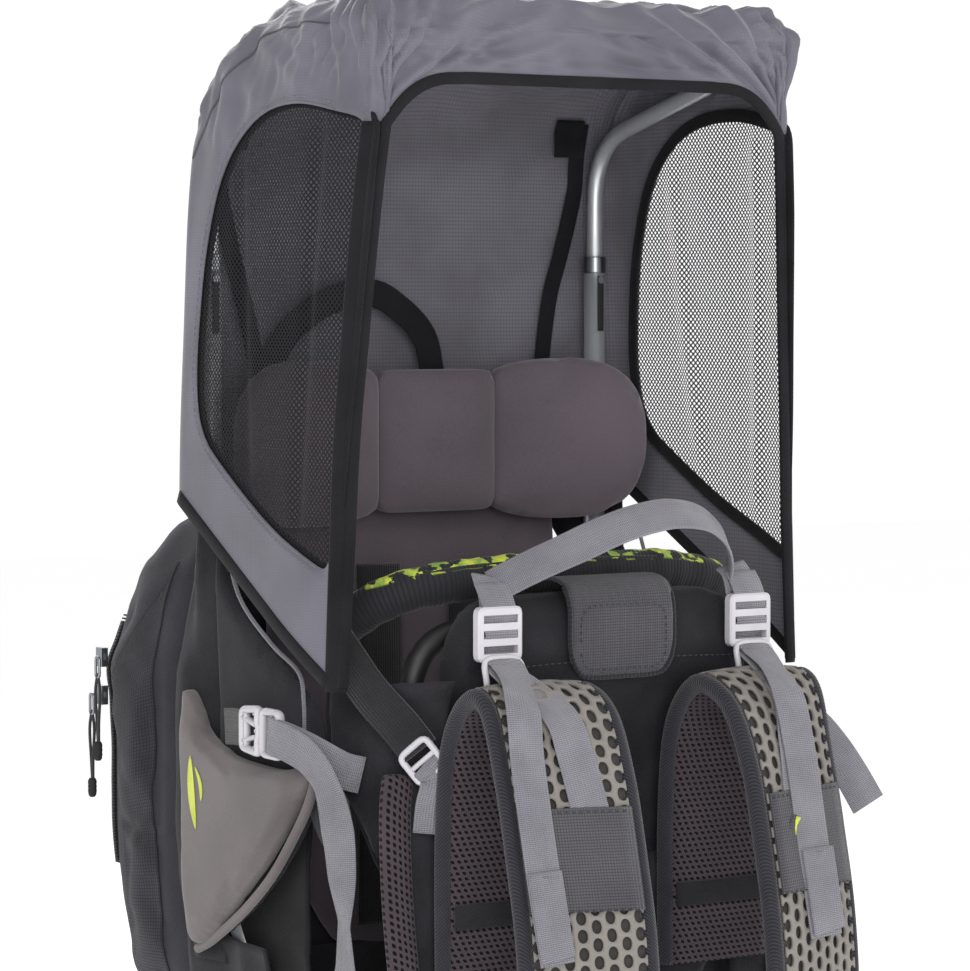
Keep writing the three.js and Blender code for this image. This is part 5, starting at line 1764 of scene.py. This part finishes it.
def make_loose_tail():
    """The right side's spare webbing, hanging beside the strap."""
    path = [(146, -10, 590), (150, -28, 590), (156, -44, 580), (163, -56, 564), (172, -64, 545),
            (183, -69, 524)]
    ups = [(0.2, -1, 0.5), (0, -1, 0.6), (-0.1, -1, 0.5), (-0.2, -1, 0.3), (-0.3, -1, 0.2), (-0.3, -1, 0.1)]
    ribbon("spare_webbing_R", path, ups, WEB_WIDTH, "pack")


make_headrest()
make_seat()
make_back()
make_flap()
make_bumper()
make_sides()
make_gussets()
make_bags()
make_hip_belt()
make_handle()
make_loose_tail()


# ---------------------------------------------------------------- stage, lights and camera
def stage_cloth():
    """A wide pale floor, bright enough to pass for the photo's background."""
    reach = np.linspace(-9000, 9000, 8)
    obj = raw_object("floor", [(x, y, -0.4) for y in reach for x in reach], grid_faces(8, 8))
    p = Paint("floor_paper")
    obj.data.materials.append(p.finish(p.mix(p.noise(3), "#f3f3f3", "#f7f7f7"), 0.9))
    p.bsdf.inputs["Emission Color"].default_value = (1, 1, 1, 1)
    p.bsdf.inputs["Emission Strength"].default_value = 0.38


def lamp(name, place, aim, size, power):
    data = bpy.data.lights.new(name, "AREA")
    data.shape = "RECTANGLE"
    data.size, data.size_y = size
    data.energy = power
    obj = bpy.data.objects.new(name, data)
    obj.location = Vector(place)
    obj.rotation_euler = (Vector(aim) - Vector(place)).to_track_quat("-Z", "Y").to_euler()
    SCENE.collection.objects.link(obj)


def studio():
    world = bpy.data.worlds.new("studio")
    world.use_nodes = True
    tree = world.node_tree
    background = tree.nodes["Background"]
    path = tree.nodes.new("ShaderNodeLightPath")
    strength = tree.nodes.new("ShaderNodeMapRange")
    tree.links.new(path.outputs["Is Camera Ray"], strength.inputs[0])
    strength.inputs[3].default_value = 0.66
    strength.inputs[4].default_value = 1.05
    tree.links.new(strength.outputs[0], background.inputs["Strength"])
    background.inputs["Color"].default_value = (1, 1, 1, 1)
    SCENE.world = world
    SCENE.view_settings.view_transform = "Standard"
    lamp("key", (-2.2, -2.4, 2.6), (0, 0, 0.7), (1.6, 1.6), 40)
    lamp("front", (-1.1, -2.6, 1.0), (0, 0.1, 0.75), (1.2, 1.2), 26)
    lamp("fill", (2.4, -1.8, 1.4), (0, 0, 0.6), (1.8, 1.8), 20)
    lamp("back", (0.6, 2.6, 2.2), (0, 0, 0.7), (1.6, 1.2), 34)


def camera():
    """The photograph's view: from the front left, level with the shoulder straps, on the upper half."""
    data = bpy.data.cameras.new("camera")
    data.lens, data.sensor_width = 131.75, 36
    data.clip_start, data.clip_end = 0.05, 60
    obj = bpy.data.objects.new("camera", data)
    obj.location = (-1.322, -1.982, 0.869)
    obj.rotation_euler = (math.radians(90 - 2.99), 0, math.radians(-32))
    SCENE.collection.objects.link(obj)
    SCENE.camera = obj


stage_cloth()
studio()
camera()

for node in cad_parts.values():
    if not node.hide_render and not node.data.materials:
        raise RuntimeError(f"{node.name} has no material")
